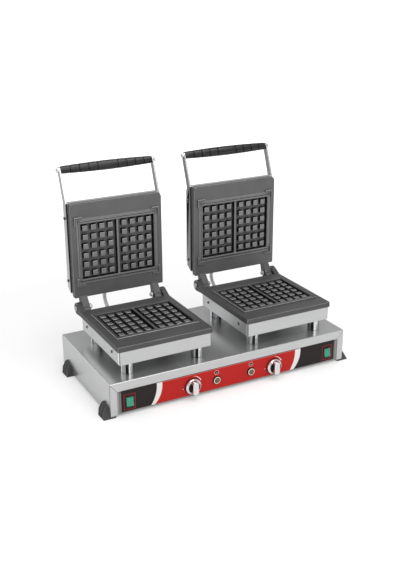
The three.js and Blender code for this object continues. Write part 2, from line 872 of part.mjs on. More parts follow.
// The lid's plate: the casting with locating corners, and lugs that turn on the hinge bolts.
// Each lug has a heel that meets the lower plate's back edge when the lid is fully open.
function upperPlate() {
  const casting = waffleCasting({
    rimHeight: lidRimHeight,
    rimInset: rim.lidSetBack,
    ledge: locator.ledge,
    farRadius: plate.lidCorner,
    railOuter: coverHalf - sheet - rail.margin,
    boreHeights: [arm.upperScrew, arm.lowerScrew].map((height) => height - hinge.behindPlate),
    boreDepth: arm.backSet,
  });
  const [y, z] = pinInLid;
  const lug = band([...circle(y, z, hinge.lugRadius), [hinge.lugRoot, 0], [hinge.lugRoot, -plate.thickness]]);
  const heelFace = z + hinge.behindPlate - seat;
  const heel = band([
    ...circle(y, z, hinge.stopRadius),
    [y - hinge.stopTop, heelFace],
    [y - hinge.stopTop - hinge.stopHeight, heelFace],
  ]);
  const outer = halfPlate - hinge.earWidth - hinge.sideGap;
  const lugs = [-1, 1].flatMap((side) => {
    const ends = [side * outer, side * (outer - hinge.lugWidth)].sort((a, b) => a - b);
    return [prism(lug, ends, lies.alongX), prism(heel, ends, lies.alongX)];
  });
  const through = [-halfPlate - overrun, halfPlate + overrun];
  const bore = moved(rod(hinge.pin + seat, through, lies.alongX, facets.hoop), 0, y, z);
  return cut(join(casting, ...lugs, ...locatingCorners()), bore);
}

// The four raised angles that drop over the corners of the lower plate's rim.
function locatingCorners() {
  const inner = {
    x: wellOuter + rim.across + locator.gap,
    y: wellHalfAlong + rim.along + locator.gap,
  };
  const ordered = (a, b) => (a < b ? [a, b] : [b, a]);
  const thick = (side, near) => ordered(side * near, side * (near + locator.width));
  const long = (side, near) => ordered(side * (near + locator.width), side * (near + locator.width - locator.length));
  const shift = (pair) => pair.map((y) => y + plate.wellMiddle);
  return [-1, 1].flatMap((sideX) =>
    [-1, 1].map((sideY) =>
      join(
        block(long(sideX, inner.x), shift(thick(sideY, inner.y)), [-overrun, locator.height]),
        block(thick(sideX, inner.x), shift(long(sideY, inner.y)), [-overrun, locator.height]),
      ),
    ),
  );
}

// The heating element under a casting: one round tube bent to a wide U, in the casting's frame.
function heatingElement() {
  const level = -well.depth - well.floor - seat - element.radius;
  const near = plate.wellMiddle - element.length / 2;
  const bendY = plate.wellMiddle + element.length / 2 - element.bendRadius;
  const bend = Array.from({ length: element.bendSteps + 1 }, (_, i) => {
    const angle = Math.PI * (1 - i / element.bendSteps);
    return [element.bendRadius * Math.cos(angle), bendY + element.bendRadius * Math.sin(angle), level];
  });
  const ends = [-1, 1].map((side) => [side * element.bendRadius, near - element.tail, level]);
  return tubeAlong([ends[0], [-element.bendRadius, near, level], ...bend, [element.bendRadius, near, level], ends[1]],
    element.radius, element.steps);
}

// The lid's steel cover in the open lid's frame: Y back from the pin line, Z up along the lid.
function coverOutline() {
  const bottom = hinge.behindPlate + cover.bottomMargin;
  const top = hinge.behindPlate + plate.side - cover.topMargin;
  return [
    [coverBack, bottom],
    [coverBack + cover.depth, bottom + cover.bottomRise],
    [coverBack + cover.depth, top - cover.topDrop],
    [coverBack + cover.flatTop, top],
    [coverBack, top],
  ];
}

// Places on the sloping lower end of the cover, by depth behind the casting.
function coverSlope(depth) {
  const bottom = hinge.behindPlate + cover.bottomMargin;
  return [coverBack + depth, bottom + (depth * cover.bottomRise) / cover.depth];
}

// The direction square to that slope, out of the cover.
const slopeLength = Math.hypot(cover.depth, cover.bottomRise);
const slopeOut = [cover.bottomRise / slopeLength, -cover.depth / slopeLength];

// A turned piece set on the slope: its profile runs outwards from the slope's surface.
function onSlope(solid, across) {
  const [y, z] = coverSlope(lead.coverDepth);
  const outwards = new THREE.Vector3(0, slopeOut[0], slopeOut[1]);
  const sideways = new THREE.Vector3().crossVectors(outwards, X);
  const turn = new THREE.Matrix4().makeBasis(X, sideways, outwards).setPosition(across, y, z);
  return solid.transform(turn.elements);
}

// The cover itself: a pan of sheet, open towards the casting.
function upperCover(leadAcross) {
  const outline = coverOutline();
  const outer = prism(outline, [-coverHalf, coverHalf], lies.alongX);
  const inner = inset(outline, sheet);
  const first = inner[0];
  const last = inner[inner.length - 1];
  const mouth = [[coverBack - overrun, last[1]], [coverBack - overrun, first[1]]];
  const hollow = prism([...inner, ...mouth], [-coverHalf + sheet, coverHalf - sheet], lies.alongX);
  const screws = [arm.upperScrew, arm.lowerScrew].map((height) =>
    moved(rod(screw.shank + seat, [-coverHalf - overrun, coverHalf + overrun], lies.alongX), 0, armMiddle, height),
  );
  const entry = onSlope(rod(lead.barrel + seat, [-sheet - overrun, overrun], lies.alongZ, facets.hoop), leadAcross);
  return cut(outer, hollow, entry, ...screws);
}

// A handle arm: a flat bar up the cover's side, bent back above the lid to an eye for the grip's rod.
// Its two screws are part of it, and run through the cover's side into the casting's rail.
function handleArm(side) {
  const half = arm.width / 2;
  const ends = [side * armInner, side * armOuter].sort((a, b) => a - b);
  const footEnd = [armMiddle, arm.foot + half];
  const bend = [armMiddle, arm.bend];
  const eye = [arm.gripBack, arm.gripUp];
  const lower = band([
    ...circle(bend[0], bend[1], half, facets.hoop),
    [armMiddle - half, footEnd[1] - half],
    [armMiddle + half, footEnd[1] + half],
  ]);
  const upper = band([
    ...circle(bend[0], bend[1], half, facets.hoop),
    ...circle(eye[0], eye[1], arm.eye, facets.hoop),
  ]);
  const bar = join(prism(lower, ends, lies.alongX), prism(upper, ends, lies.alongX));
  const screws = [arm.upperScrew, arm.lowerScrew].map((height) =>
    moved(sideScrew(side, arm.thickness + screw.grip), side * armOuter, armMiddle, height),
  );
  const through = [-armOuter - overrun, armOuter + overrun];
  const rodHole = moved(rod(grip.rod + seat, through, lies.alongX, facets.hoop), 0, eye[0], eye[1]);
  return join(cut(bar, rodHole), ...screws);
}

// The grip between the arms: it swells towards the middle and is ringed by grooves.
function handleGrip() {
  const half = armInner - seat;
  const swell = (x) => {
    const share = Math.abs(x) / half;
    return grip.midRadius - (grip.midRadius - grip.endRadius) * share * share;
  };
  const short = (half - grip.middleSegment / 2) / grip.shortSegments;
  const bore = grip.rod + seat;
  const rightSide = Array.from({ length: grip.shortSegments }, (_, i) => grip.middleSegment / 2 + i * short).flatMap(
    (x) => [
      [swell(x), x - grip.groove / 2],
      [swell(x) - grip.grooveDepth, x],
      [swell(x), x + grip.groove / 2],
    ],
  );
  const right = [...rightSide, [swell(half), half], [bore, half]];
  const left = right.map(([radius, x]) => [radius, -x]).reverse();
  const profile = [...left, [grip.midRadius, 0], ...right, left[0]];
  return moved(turned(profile, lies.alongX, facets.hoop), 0, arm.gripBack, arm.gripUp);
}

// The rod through the grip, with a domed nut at each end.
function handleRod() {
  const nut = armOuter + seat;
  const end = nut + grip.nutLength;
  const half = [
    [grip.rod, nut],
    [grip.nutRadius, nut],
    [grip.nutRadius, nut + grip.nutLength / 2],
    [grip.rod, end],
    [0, end],
  ];
  const mirrored = [...half].reverse().map(([radius, x]) => [radius, -x]);
  return moved(turned([...mirrored, ...half], lies.alongX, facets.pin), 0, arm.gripBack, arm.gripUp);
}

// A hinge bolt: its head lies on the ear's outer face and its nut on the lug's inner face.
function hingeBolt(side) {
  const outer = halfPlate + seat;
  const inner = halfPlate - hinge.earWidth - hinge.sideGap - hinge.lugWidth - seat;
  const profile = [
    [0, inner - hinge.nutThickness - hinge.threadEnd],
    [hinge.pin, inner - hinge.nutThickness - hinge.threadEnd],
    [hinge.pin, inner - hinge.nutThickness],
    [hinge.nutRadius, inner - hinge.nutThickness],
    [hinge.nutRadius, inner],
    [hinge.pin, inner],
    [hinge.pin, outer],
    [hinge.headRadius, outer],
    [hinge.headRadius, outer + hinge.headThickness / 2],
    [hinge.pin, outer + hinge.headThickness],
    [0, outer + hinge.headThickness],
  ];
  const facing = profile.map(([radius, x]) => [radius, side * x]);
  return moved(turned(facing, lies.alongX, facets.pin), 0, pinY, pinZ);
}

// A ferrule for the flexible lead: a barrel through the sheet, a flange on it and a collar outside.
function ferrule(outwards) {
  const bore = lead.radius + 2 * seat;
  const profile = [
    [bore, -sheet - overrun],
    [lead.barrel, -sheet - overrun],
    [lead.barrel, outwards],
    [lead.flange, outwards],
    [lead.flange, outwards + lead.flangeThickness],
    [lead.ferrule, outwards + lead.flangeThickness],
    [lead.ferrule, outwards + lead.ferruleLength],
    [bore, outwards + lead.ferruleLength],
    [bore, -sheet - overrun],
  ];
  return turned(profile, lies.alongZ, facets.pin);
}

// The flexible lead from the base to the lid's cover, bowed back so that the lid can turn.
function flexibleLead(across) {
  const [slopeY, slopeZ] = coverSlope(lead.coverDepth);
  const entry = [pinY + slopeY, pinZ + slopeZ];
  const outside = (run) => [across, entry[0] + slopeOut[0] * run, entry[1] + slopeOut[1] * run];
  const points = [
    [across, leadBack, baseTop + seat],
    [across, leadBack, baseTop + lead.ferruleLength],
    [across, leadBack, baseTop + lead.ferruleLength + lead.straight],
    [across, leadBow, lead.bowHeight],
    outside(lead.ferruleLength + lead.straight),
    outside(lead.ferruleLength),
    outside(seat),
  ];
  return tubeAlong(points, lead.radius, lead.steps, facets.pin);
}

// Assembly: the base and its controls, then a group for each unit, with its lid in a group on the pin line.
const machine = new THREE.Group();
machine.add(
  part('base_shell', baseShell(), colours.steel),
  part('bottom_cover', bottomCover(), colours.steel),
  part('front_panel', frontPanel(), colours.steel),
  part('control_label', controlLabel(), colours.red),
  part('terminal_block', terminalBlock(), colours.grey),
  part('cable_gland', cableGland(), colours.dark),
);

for (const { name, side } of sidesOfPanel) {
  machine.add(
    part(`${name}_front_foot`, cornerFoot(side, false), colours.rubber),
    part(`${name}_rear_foot`, cornerFoot(side, true), colours.rubber),
    part(`${name}_switch_housing`, switchHousing(side), colours.dark),
    part(`${name}_thermostat`, thermostatBody(side), colours.grey),
    part(`${name}_lamp_ring`, lampRing(side), colours.polished),
    part(`${name}_lamp_lens`, lampLens(side), colours.amber),
  );
  const switchRocker = part(`${name}_rocker`, rockerGeometry(), colours.green);
  const pivotY = labelFront - seat - housing.flange + rocker.pivotDepth;
  switchRocker.position.set(side * switchX, pivotY, panel.controlHeight);
  switchRocker.rotation.x = -THREE.MathUtils.degToRad(rocker.tilt);
  const knob = part(`${name}_dial_knob`, dialKnob(), colours.polished);
  knob.position.set(side * dialX, 0, panel.controlHeight);
  machine.add(switchRocker, knob);
}

for (const { name, outward, x, leadAcross } of units) {
  const unit = new THREE.Group();
  unit.position.x = x;
  for (const [row, y] of [['front', leg.front], ['rear', leg.rear]]) {
    unit.add(
      part(`${name}_unit_${row}_leg_outer`, trayLeg(outward * leg.fromMiddle, y), colours.polished),
      part(`${name}_unit_${row}_leg_inner`, trayLeg(-outward * leg.fromMiddle, y), colours.polished),
    );
  }
  const casting = part(`${name}_lower_plate`, lowerPlate(), colours.iron);
  const heater = part(`${name}_lower_element`, heatingElement(), colours.grey);
  for (const piece of [casting, heater]) {
    piece.position.set(0, plateRear, plateFace);
    piece.rotation.z = Math.PI;
  }
  const lowerFerrule = part(`${name}_base_ferrule`, ferrule(seat), colours.polished);
  lowerFerrule.position.set(leadAcross, leadBack, baseTop);
  unit.add(
    part(`${name}_tray`, plateTray(), colours.steel),
    casting,
    heater,
    lowerFerrule,
    part(`${name}_flexible_lead`, flexibleLead(leadAcross), colours.polished),
    part(`${name}_hinge_bolt_outer`, hingeBolt(outward), colours.polished),
    part(`${name}_hinge_bolt_inner`, hingeBolt(-outward), colours.polished),
  );
  const lid = new THREE.Group();
  lid.position.set(0, pinY, pinZ);
  const lidCasting = part(`${name}_upper_plate`, upperPlate(), colours.iron);
  const lidHeater = part(`${name}_upper_element`, heatingElement(), colours.grey);
  for (const piece of [lidCasting, lidHeater]) {
    piece.position.set(0, hinge.belowLidFace, hinge.behindPlate);
    piece.rotation.x = Math.PI / 2;
  }
  lid.add(
    lidCasting,
    lidHeater,
    part(`${name}_upper_cover`, upperCover(leadAcross), colours.steel),
    part(`${name}_handle_arm_outer`, handleArm(outward), colours.polished),
    part(`${name}_handle_arm_inner`, handleArm(-outward), colours.polished),
    part(`${name}_handle_grip`, handleGrip(), colours.bakelite),
    part(`${name}_handle_rod`, handleRod(), colours.polished),
    part(`${name}_lid_ferrule`, onSlope(ferrule(seat), leadAcross), colours.polished),
  );
  unit.add(lid);
  machine.add(unit);
}

// The footprint runs from the dials' fronts to the backs of the open lids' grips.
const footprintFront = labelFront - dial.standOff - dial.reach;
const footprintRear = pinY + arm.gripBack + grip.midRadius;
machine.position.y = -(footprintFront + footprintRear) / 2;
const group = new THREE.Group();
group.add(machine);
export default group;
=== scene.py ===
"""The looks of a double waffle maker: finishes, fine meshes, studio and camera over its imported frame."""

import json
import logging
import math
from collections.abc import Callable, Iterator, Sequence
from contextlib import contextmanager
from dataclasses import dataclass, field
from enum import Enum

import bmesh
import bpy
from mathutils import Matrix, Vector
from mathutils.geometry import interpolate_bezier

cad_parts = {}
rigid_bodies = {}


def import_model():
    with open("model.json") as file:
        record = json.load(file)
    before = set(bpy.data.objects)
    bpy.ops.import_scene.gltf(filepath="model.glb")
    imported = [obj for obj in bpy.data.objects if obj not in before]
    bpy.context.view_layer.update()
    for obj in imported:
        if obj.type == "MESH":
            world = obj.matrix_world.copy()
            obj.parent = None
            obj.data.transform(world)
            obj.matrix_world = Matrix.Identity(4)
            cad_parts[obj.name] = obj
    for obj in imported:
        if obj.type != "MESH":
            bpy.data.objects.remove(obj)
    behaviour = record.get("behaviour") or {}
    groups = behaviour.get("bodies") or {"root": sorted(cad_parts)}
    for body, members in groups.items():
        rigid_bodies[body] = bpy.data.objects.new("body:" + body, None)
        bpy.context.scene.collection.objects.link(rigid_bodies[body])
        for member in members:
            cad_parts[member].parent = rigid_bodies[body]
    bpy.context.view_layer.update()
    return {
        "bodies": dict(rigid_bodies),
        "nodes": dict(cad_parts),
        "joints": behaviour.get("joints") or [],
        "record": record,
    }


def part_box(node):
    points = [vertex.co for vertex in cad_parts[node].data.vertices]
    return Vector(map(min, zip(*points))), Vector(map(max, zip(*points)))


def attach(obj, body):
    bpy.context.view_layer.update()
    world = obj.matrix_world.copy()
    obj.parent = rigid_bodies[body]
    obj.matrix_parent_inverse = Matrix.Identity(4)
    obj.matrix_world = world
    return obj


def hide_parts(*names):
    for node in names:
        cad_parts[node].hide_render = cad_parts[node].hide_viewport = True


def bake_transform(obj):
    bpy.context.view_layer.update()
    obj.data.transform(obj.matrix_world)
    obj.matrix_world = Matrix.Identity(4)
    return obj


log = logging.getLogger("waffle_maker")

MM = 0.001
TINY = 1e-6
SHARP = 0.3
WELD = 0.02 * MM
COPLANAR = math.radians(0.6)
TURNED = 30.0

Colour = tuple[float, float, float]
Point = tuple[float, float, float]
Profile = Sequence[tuple[float, float]]
Sockets = dict[str, object]
Material = bpy.types.Material
Piece = bpy.types.Object

ORIGIN = Vector((0.0, 0.0, 0.0))
BACK = Vector((0.0, 1.0, 0.0))
UP = Vector((0.0, 0.0, 1.0))


class Axis(Enum):
    """The three directions of the frame."""

    X = 0
    Y = 1
    Z = 2


class Side(Enum):
    """The two halves of the machine, by the sign of X."""

    LEFT = -1
    RIGHT = 1

    @property
    def label(self) -> str:
        """The side's word in the names of nodes and bodies."""
        return self.name.lower()


class Grain(Enum):
    """Which way the brushing of a steel sheet runs."""

    ALONG_X = (1.0, 40.0, 40.0)
    ALONG_Z = (40.0, 40.0, 1.0)


# Shader nodes


def span(x: "Signal", z: "Signal") -> "Signal":
    """The distance from a middle, by the places across and up from it."""
    return (x * x + z * z).maths("SQRT")


class Signal:
    """One shader value; arithmetic on it adds Math nodes to its sheet."""

    def __init__(self, sheet: "NodeSheet", socket: bpy.types.NodeSocket) -> None:
        """Keep the socket and the sheet of nodes that it is on."""
        self.sheet = sheet
        self.socket = socket

    def maths(self, operation: str, *others: "Signal | float") -> "Signal":
        """Combine this value with others in one Math node.

        Args:
            operation: the node's operation.
            others: the further values, in the node's order.

        Returns:
            The node's result.
        """
        return self.sheet.add("ShaderNodeMath", {"operation": operation}, dict(enumerate((self, *others))))

    def __add__(self, other: "Signal | float") -> "Signal":
        """This value plus another."""
        return self.maths("ADD", other)

    __radd__ = __add__

    def __sub__(self, other: "Signal | float") -> "Signal":
        """This value less another."""
        return self.maths("SUBTRACT", other)

    def __rsub__(self, other: float) -> "Signal":
        """A number less this value."""
        return self.sheet.add("ShaderNodeMath", {"operation": "SUBTRACT"}, {0: other, 1: self})

    def __mul__(self, other: "Signal | float") -> "Signal":
        """This value times another."""
        return self.maths("MULTIPLY", other)

    __rmul__ = __mul__

    def __truediv__(self, other: "Signal | float") -> "Signal":
        """This value divided by another."""
        return self.maths("DIVIDE", other)

    def magnitude(self) -> "Signal":
        """This value without its sign."""
        return self.maths("ABSOLUTE")

    def least(self, other: "Signal | float") -> "Signal":
        """The smaller of this value and another."""
        return self.maths("MINIMUM", other)

    def most(self, other: "Signal | float") -> "Signal":
        """The larger of this value and another."""
        return self.maths("MAXIMUM", other)

    def above(self, edge: "Signal | float", blur: float) -> "Signal":
        """A mask that is one where this value is past an edge.

        Args:
            edge: the value at which the mask changes.
            blur: how wide the change is.

        Returns:
            The mask, from zero to one.
        """
        sockets = {"Value": self - edge, "From Min": -blur / 2, "From Max": blur / 2}
        return self.sheet.add("ShaderNodeMapRange", {"interpolation_type": "SMOOTHSTEP"}, sockets)

    def below(self, edge: "Signal | float", blur: float) -> "Signal":
        """The opposite mask to above."""
        return 1 - self.above(edge, blur)


class NodeSheet:
    """The nodes of one material or world, with one method that adds any of them."""

    def __init__(self, tree: bpy.types.NodeTree) -> None:
        """Start from an empty tree."""
        self.tree = tree
        tree.nodes.clear()

    def add(
        self,
        kind: str,
        settings: dict[str, object] | None = None,
        sockets: dict[int | str, object] | None = None,
        output: int | str = 0,
    ) -> Signal:
        """Add a node, set it up and connect it.

        Args:
            kind: the node's type.
            settings: its settings; stops is a colour ramp's list of places and colours.
            sockets: values or signals for its inputs.
            output: which output to return.

        Returns:
            The chosen output.
        """
        node = self.tree.nodes.new(kind)
        for name, value in (settings or {}).items():
            if name == "stops":
                self._set_stops(node, value)
            else:
                setattr(node, name, value)
        for name, value in (sockets or {}).items():
            if isinstance(value, Signal):
                self.tree.links.new(value.socket, node.inputs[name])
            else:
                node.inputs[name].default_value = value
        outputs = node.outputs
        return Signal(self, outputs[output] if len(outputs) else node.inputs[0])

    @staticmethod
    def _set_stops(node: bpy.types.Node, stops: Sequence[tuple[float, Colour]]) -> None:
        """Give a ramp its places and colours."""
        elements = node.color_ramp.elements
        while len(elements) < len(stops):
            elements.new(1.0)
        for element, (place, colour) in zip(elements, stops):
            element.position = place
            element.color = (*colour, 1.0)

    def place(self) -> Signal:
        """The point of the surface in the frame's own metres."""
        return self.add("ShaderNodeTexCoord", output="Object")

    def parts(self, vector: Signal) -> tuple[Signal, Signal, Signal]:
        """The three parts of a vector."""
        return tuple(self.add("ShaderNodeSeparateXYZ", sockets={0: vector}, output=axis.value) for axis in Axis)

    def noise(self, vector: Signal, scale: float, detail: float = 2.0, rough: float = 0.5) -> Signal:
        """A smooth random value about a half.

        Args:
            vector: where the pattern is read.
            scale: its waves in a metre.
            detail: how many finer layers it has.
            rough: how strong they are.

        Returns:
            The value.
        """
        sockets = {"Vector": vector, "Scale": scale, "Detail": detail, "Roughness": rough}
        return self.add("ShaderNodeTexNoise", sockets=sockets)

    def layer(self, name: str) -> Signal:
        """A value that the mesh carries."""
        return self.add("ShaderNodeAttribute", {"attribute_name": name}, output=2)

    def stretched(self, vector: Signal, scale: Point) -> Signal:
        """A vector scaled by its own number in each direction."""
        return self.add("ShaderNodeMapping", sockets={"Vector": vector, "Scale": scale})

    def blend(self, factor: Signal | float, first: object, second: object) -> Signal:
        """A colour between two others.

        Args:
            factor: zero for the first, one for the second.
            first: a colour or a signal.
            second: a colour or a signal.

        Returns:
            The mixed colour.
        """
        full = [(*c, 1.0) if isinstance(c, tuple) else c for c in (first, second)]
        return self.add("ShaderNodeMix", {"data_type": "RGBA"}, {0: factor, 6: full[0], 7: full[1]}, output=2)

    def bump(self, height: Signal, distance: float, strength: float = 1.0) -> Signal:
        """A normal that follows a height.

        Args:
            height: the value to follow.
            distance: metres for a height of one.
            strength: how much of it shows.

        Returns:
            The normal.
        """
        return self.add("ShaderNodeBump", sockets={"Height": height, "Distance": distance, "Strength": strength})


# Finishes


def toned(colour: Colour, share: float) -> Colour:
    """A colour made lighter or darker by a share."""
    return tuple(min(1.0, part * share) for part in colour)


@dataclass(frozen=True)
class Finish:
    """A finish of the machine's surfaces; each kind draws its own shader."""

    name: str

    def draw(self, sheet: NodeSheet) -> Sockets:
        """The shader's values and signals by socket."""
        raise NotImplementedError

    def build(self) -> Material:
        """Make the material from one Principled BSDF.

        Returns:
            The material.
        """
        material = bpy.data.materials.new(self.name)
        material.use_nodes = True
        sheet = NodeSheet(material.node_tree)
        sockets = {key: (*v, 1.0) if isinstance(v, tuple) else v for key, v in self.draw(sheet).items()}
        shader = sheet.add("ShaderNodeBsdfPrincipled", sockets=sockets)
        sheet.add("ShaderNodeOutputMaterial", sockets={"Surface": shader})
        return material


@dataclass(frozen=True)
class BrushedSteel(Finish):
    """Stainless sheet with a fine one-way grain and faint handling marks."""

    grain: Grain = Grain.ALONG_X
    colour: Colour = (0.60, 0.603, 0.606)
    roughness: float = 0.26
    metal: float = 0.84
    streaks: float = 42.0
    bands: float = 9.0
    streak_depth: float = 0.000006
    contrast: float = 0.24

    def streak(self, sheet: NodeSheet, grain: Grain) -> Signal:
        """The brushing that runs one way, as a value about a half."""
        lines = sheet.stretched(sheet.place(), grain.value)
        return sheet.noise(lines, self.streaks, 3.0, 0.7) * 0.6 + sheet.noise(lines, self.bands, 3.0, 0.6) * 0.4

    def brushed(self, sheet: NodeSheet, streak: Signal) -> Sockets:
        """The shader's values for a given brushing.

        Args:
            sheet: where the nodes go.
            streak: the brushing.

        Returns:
            Values and signals by socket.
        """
        marks = sheet.noise(sheet.place(), 7.0, 2.0, 0.5)
        deep, pale = (toned(self.colour, 1 + sign * self.contrast) for sign in (-1, 1))
        return {
            "Base Color": sheet.blend(streak * 0.85 + marks * 0.15, deep, pale),
            "Metallic": self.metal,
            "Roughness": streak * 0.08 + marks * 0.03 + (self.roughness - 0.055),
            "Normal": sheet.bump(streak, self.streak_depth),
        }

    def draw(self, sheet: NodeSheet) -> Sockets:
        """The values of a sheet that is brushed one way."""
        return self.brushed(sheet, self.streak(sheet, self.grain))


@dataclass(frozen=True, kw_only=True)
class CabinetSteel(BrushedSteel):
    """The base's sheet: brushed along X, but upwards on the two side strips of its front frame, with mitre seams."""

    low: Vector
    high: Vector
    frame_side: float
    frame_top: float
    seam: float = 0.5 * MM
    corner_line: float = 1.2 * MM
    hem: float = 4.5 * MM
    shadow: Colour = (0.10, 0.10, 0.105)

    def draw(self, sheet: NodeSheet) -> Sockets:
        """The values, with the dark lines of seams, corners and hem.

        Args:
            sheet: where the nodes go.

        Returns:
            Values and signals by socket.
        """
        x, y, z = sheet.parts(sheet.place())
        x = x.magnitude()
        low, high, blur = self.low, self.high, self.seam
        half = high.x - self.frame_side
        lintel = high.z - self.frame_top
        lean = (x - half) / self.frame_side - (z - lintel) / self.frame_top
        on_front = y.below(low.y + MM, MM / 2)
        strip = lean.above(0.0, 0.02) * x.above(half, blur) * on_front
        mitre = blur / self.frame_side
        seam = lean.magnitude().below(mitre, mitre) * z.above(lintel, blur) * on_front
        at_corner = x.above(high.x - self.corner_line, blur) * y.below(low.y + self.corner_line, blur)
        edge = at_corner * z.below(high.z - 2 * MM, MM) * 0.8
        hem = (z - (low.z + self.hem)).magnitude().below(blur, blur) * x.above(high.x - MM / 2, blur) * 0.45
        level, upright = (self.streak(sheet, grain) for grain in (Grain.ALONG_X, Grain.ALONG_Z))
        sockets = self.brushed(sheet, level * (1 - strip) + upright * strip)
        sockets["Base Color"] = sheet.blend(seam.most(edge).most(hem), sockets["Base Color"], self.shadow)
        sockets["Roughness"] = sockets["Roughness"] + strip * 0.08
        return sockets


@dataclass(frozen=True, kw_only=True)
class TraySteel(BrushedSteel):
    """A tray's sheet, brushed along X, with a painted highlight on the lap beside each dark front corner."""

    middle: float
    half: float
    front: float
    lap: float
    line: float = 1.2 * MM
    corner: float = 1.6 * MM
    blur: float = 0.5 * MM
    shadow: Colour = (0.11, 0.11, 0.115)
    polish: Colour = (0.93, 0.935, 0.94)

    def draw(self, sheet: NodeSheet) -> Sockets:
        """The values, with the lap's painted highlight, seam and corner line.

        Args:
            sheet: where the nodes go.

        Returns:
            Values and signals by socket.
        """
        x, y, _ = sheet.parts(sheet.place())
        side = (x.magnitude() - self.middle).magnitude()
        depth = y - self.front
        blur = self.blur
        at_side = side.above(self.half - blur, blur)
        edge = side.above(self.half - self.corner, blur) * depth.below(self.corner, blur)
        seam = (depth - self.lap).magnitude().below(self.line / 2, blur) * at_side
        strip = depth.above(self.corner, blur) * depth.below(self.lap, blur) * at_side
        sockets = super().draw(sheet)
        # Painted highlight on the lap between the corner and the seam.
        colour = sheet.blend(strip, sockets["Base Color"], self.polish)
        sockets["Base Color"] = sheet.blend(edge.most(seam) * 0.85, colour, self.shadow)
        return sockets


@dataclass(frozen=True)
class Polished(Finish):
    """Bright metal: chrome plate, turned tube, flat bar or a screw head."""

    colour: Colour = (0.83, 0.835, 0.845)
    roughness: float = 0.09
    streak_layer: str = ""
    # The colour of painted reflections: the dark streaks that the reflection layer marks.
    streak: Colour = (0.022, 0.022, 0.024)

    def draw(self, sheet: NodeSheet) -> Sockets:
        """The values, darker where the mesh carries a painted reflection streak.

        Args:
            sheet: where the nodes go.

        Returns:
            Values and signals by socket.
        """
        place = sheet.place()
        haze = sheet.noise(place, 60.0, 3.0, 0.6)
        lines = sheet.noise(sheet.stretched(place, Grain.ALONG_Z.value), 30.0, 2.0, 0.6)
        colour = sheet.blend(haze, toned(self.colour, 0.88), self.colour)
        # Painted reflections: darker where the mesh's layer says.
        if self.streak_layer:
            colour = sheet.blend(sheet.layer(self.streak_layer), colour, self.streak)
        return {
            "Base Color": colour,
            "Metallic": 1.0,
            "Roughness": haze * 0.06 + lines * 0.05 + (self.roughness - 0.05),
            "Normal": sheet.bump(lines, 0.000002),
        }


@dataclass(frozen=True)
class CastIron(Finish):
    """Seasoned casting: a dark sandy skin, sooty and darkened by painted shade in its wells, lighter from wear and
    painted highlight on its edges and raised parts.
    """

    name: str = "cast_iron"
    skin: Colour = (0.052, 0.052, 0.053)
    # The dark colour of sooty wells and of painted shade.
    soot: Colour = (0.006, 0.006, 0.006)
    # The lighter colour of wear and painted highlight on edges and raised tops.
    rubbed: Colour = (0.40, 0.402, 0.405)
    roughness: float = 0.46
    contrast: float = 0.24
    wear_layer: str = "wear"
    soot_layer: str = "soot"
    run: Axis = Axis.Y
    rim_middle: float = -28.05 * MM
    rim_lines: tuple[float, float] = (102.2 * MM, 77.8 * MM)
    line_half: float = 1.9 * MM
    line_depths: tuple[float, float] = (0.85, 0.5)
    unit: float = 169.8 * MM

    def rim_marks(self, sheet: NodeSheet) -> Signal:
        """Painted shade: the dark lines that run round the rim's top.

        Args:
            sheet: where the nodes go.

        Returns:
            The mask.
        """
        parts = sheet.parts(sheet.place())
        away = ((parts[0].magnitude() - self.unit).magnitude(), (parts[self.run.value] - self.rim_middle).magnitude())
        masks = []
        for i, depth in enumerate(self.line_depths):
            on_line = (away[i] - self.rim_lines[i]).magnitude().below(self.line_half, MM)
            masks.append(on_line * away[1 - i].below(self.rim_lines[1 - i] + 3 * MM, MM) * depth)
        return masks[0].most(masks[1])

    def draw(self, sheet: NodeSheet) -> Sockets:
        """The values, by the lightening from wear and painted highlight and the darkening from sooty wells and
        painted shade that the mesh carries.

        Args:
            sheet: where the nodes go.

        Returns:
            Values and signals by socket.
        """
        sand = sheet.noise(sheet.place(), 1300.0, 3.0, 0.65)
        cloud = sheet.noise(sheet.place(), 22.0, 4.0, 0.6)
        # The wear layer carries wear and painted highlight: lighter rounded edges and raised tops.
        wear = sheet.layer(self.wear_layer)
        worn = (wear * (cloud + 0.5)).least(1.0)
        # Painted shade: dark lines round the rim's top.
        marks = self.rim_marks(sheet) * wear.above(0.06, 0.04) * wear.below(0.8, 0.1)
        mottled = sheet.blend(cloud, *(toned(self.skin, 1 + sign * self.contrast) for sign in (-1, 1)))
        # Darker where the mesh says: sooty wells, and painted shade on walls, flanks and sides.
        baked = sheet.blend(sheet.layer(self.soot_layer), mottled, self.soot)
        return {
            "Base Color": sheet.blend(marks, sheet.blend(worn, baked, self.rubbed), self.soot),
            "Metallic": worn * 0.45 + 0.1,
            "Roughness": sand * 0.16 + cloud * 0.12 + (self.roughness - 0.14) - worn * 0.1,
            "Specular IOR Level": 0.8,
            "Normal": sheet.bump(sand, 0.0001, 0.6),
        }


@dataclass(frozen=True)
class Moulded(Finish):
    """Moulded plastic or rubber: one dark or clear colour with a fine grain."""

    colour: Colour
    roughness: float
    grain_scale: float
    grain_depth: float
    coat: float = 0.0
    glow: float = 0.0
    variation: float = 0.25

    def draw(self, sheet: NodeSheet) -> Sockets:
        """The shader's values.

        Args:
            sheet: where the nodes go.

        Returns:
            Values and signals by socket.
        """
        grain = sheet.noise(sheet.place(), self.grain_scale, 2.0, 0.6)
        cloud = sheet.noise(sheet.place(), 35.0, 3.0, 0.55)
        return {
            "Base Color": sheet.blend(cloud, *(toned(self.colour, 1 + sign * self.variation) for sign in (-1, 1))),
            "Roughness": grain * 0.1 + cloud * 0.08 + (self.roughness - 0.09),
            "Specular IOR Level": 0.5,
            "Coat Weight": self.coat,
            "Coat Roughness": 0.08,
            "Emission Color": self.colour,
            "Emission Strength": self.glow,
            "Normal": sheet.bump(grain, self.grain_depth),
        }


@dataclass(frozen=True)
class Arc:
    """A round edge of the printed sheet: the part right of its centre counts."""

    centre: float
    radius: float


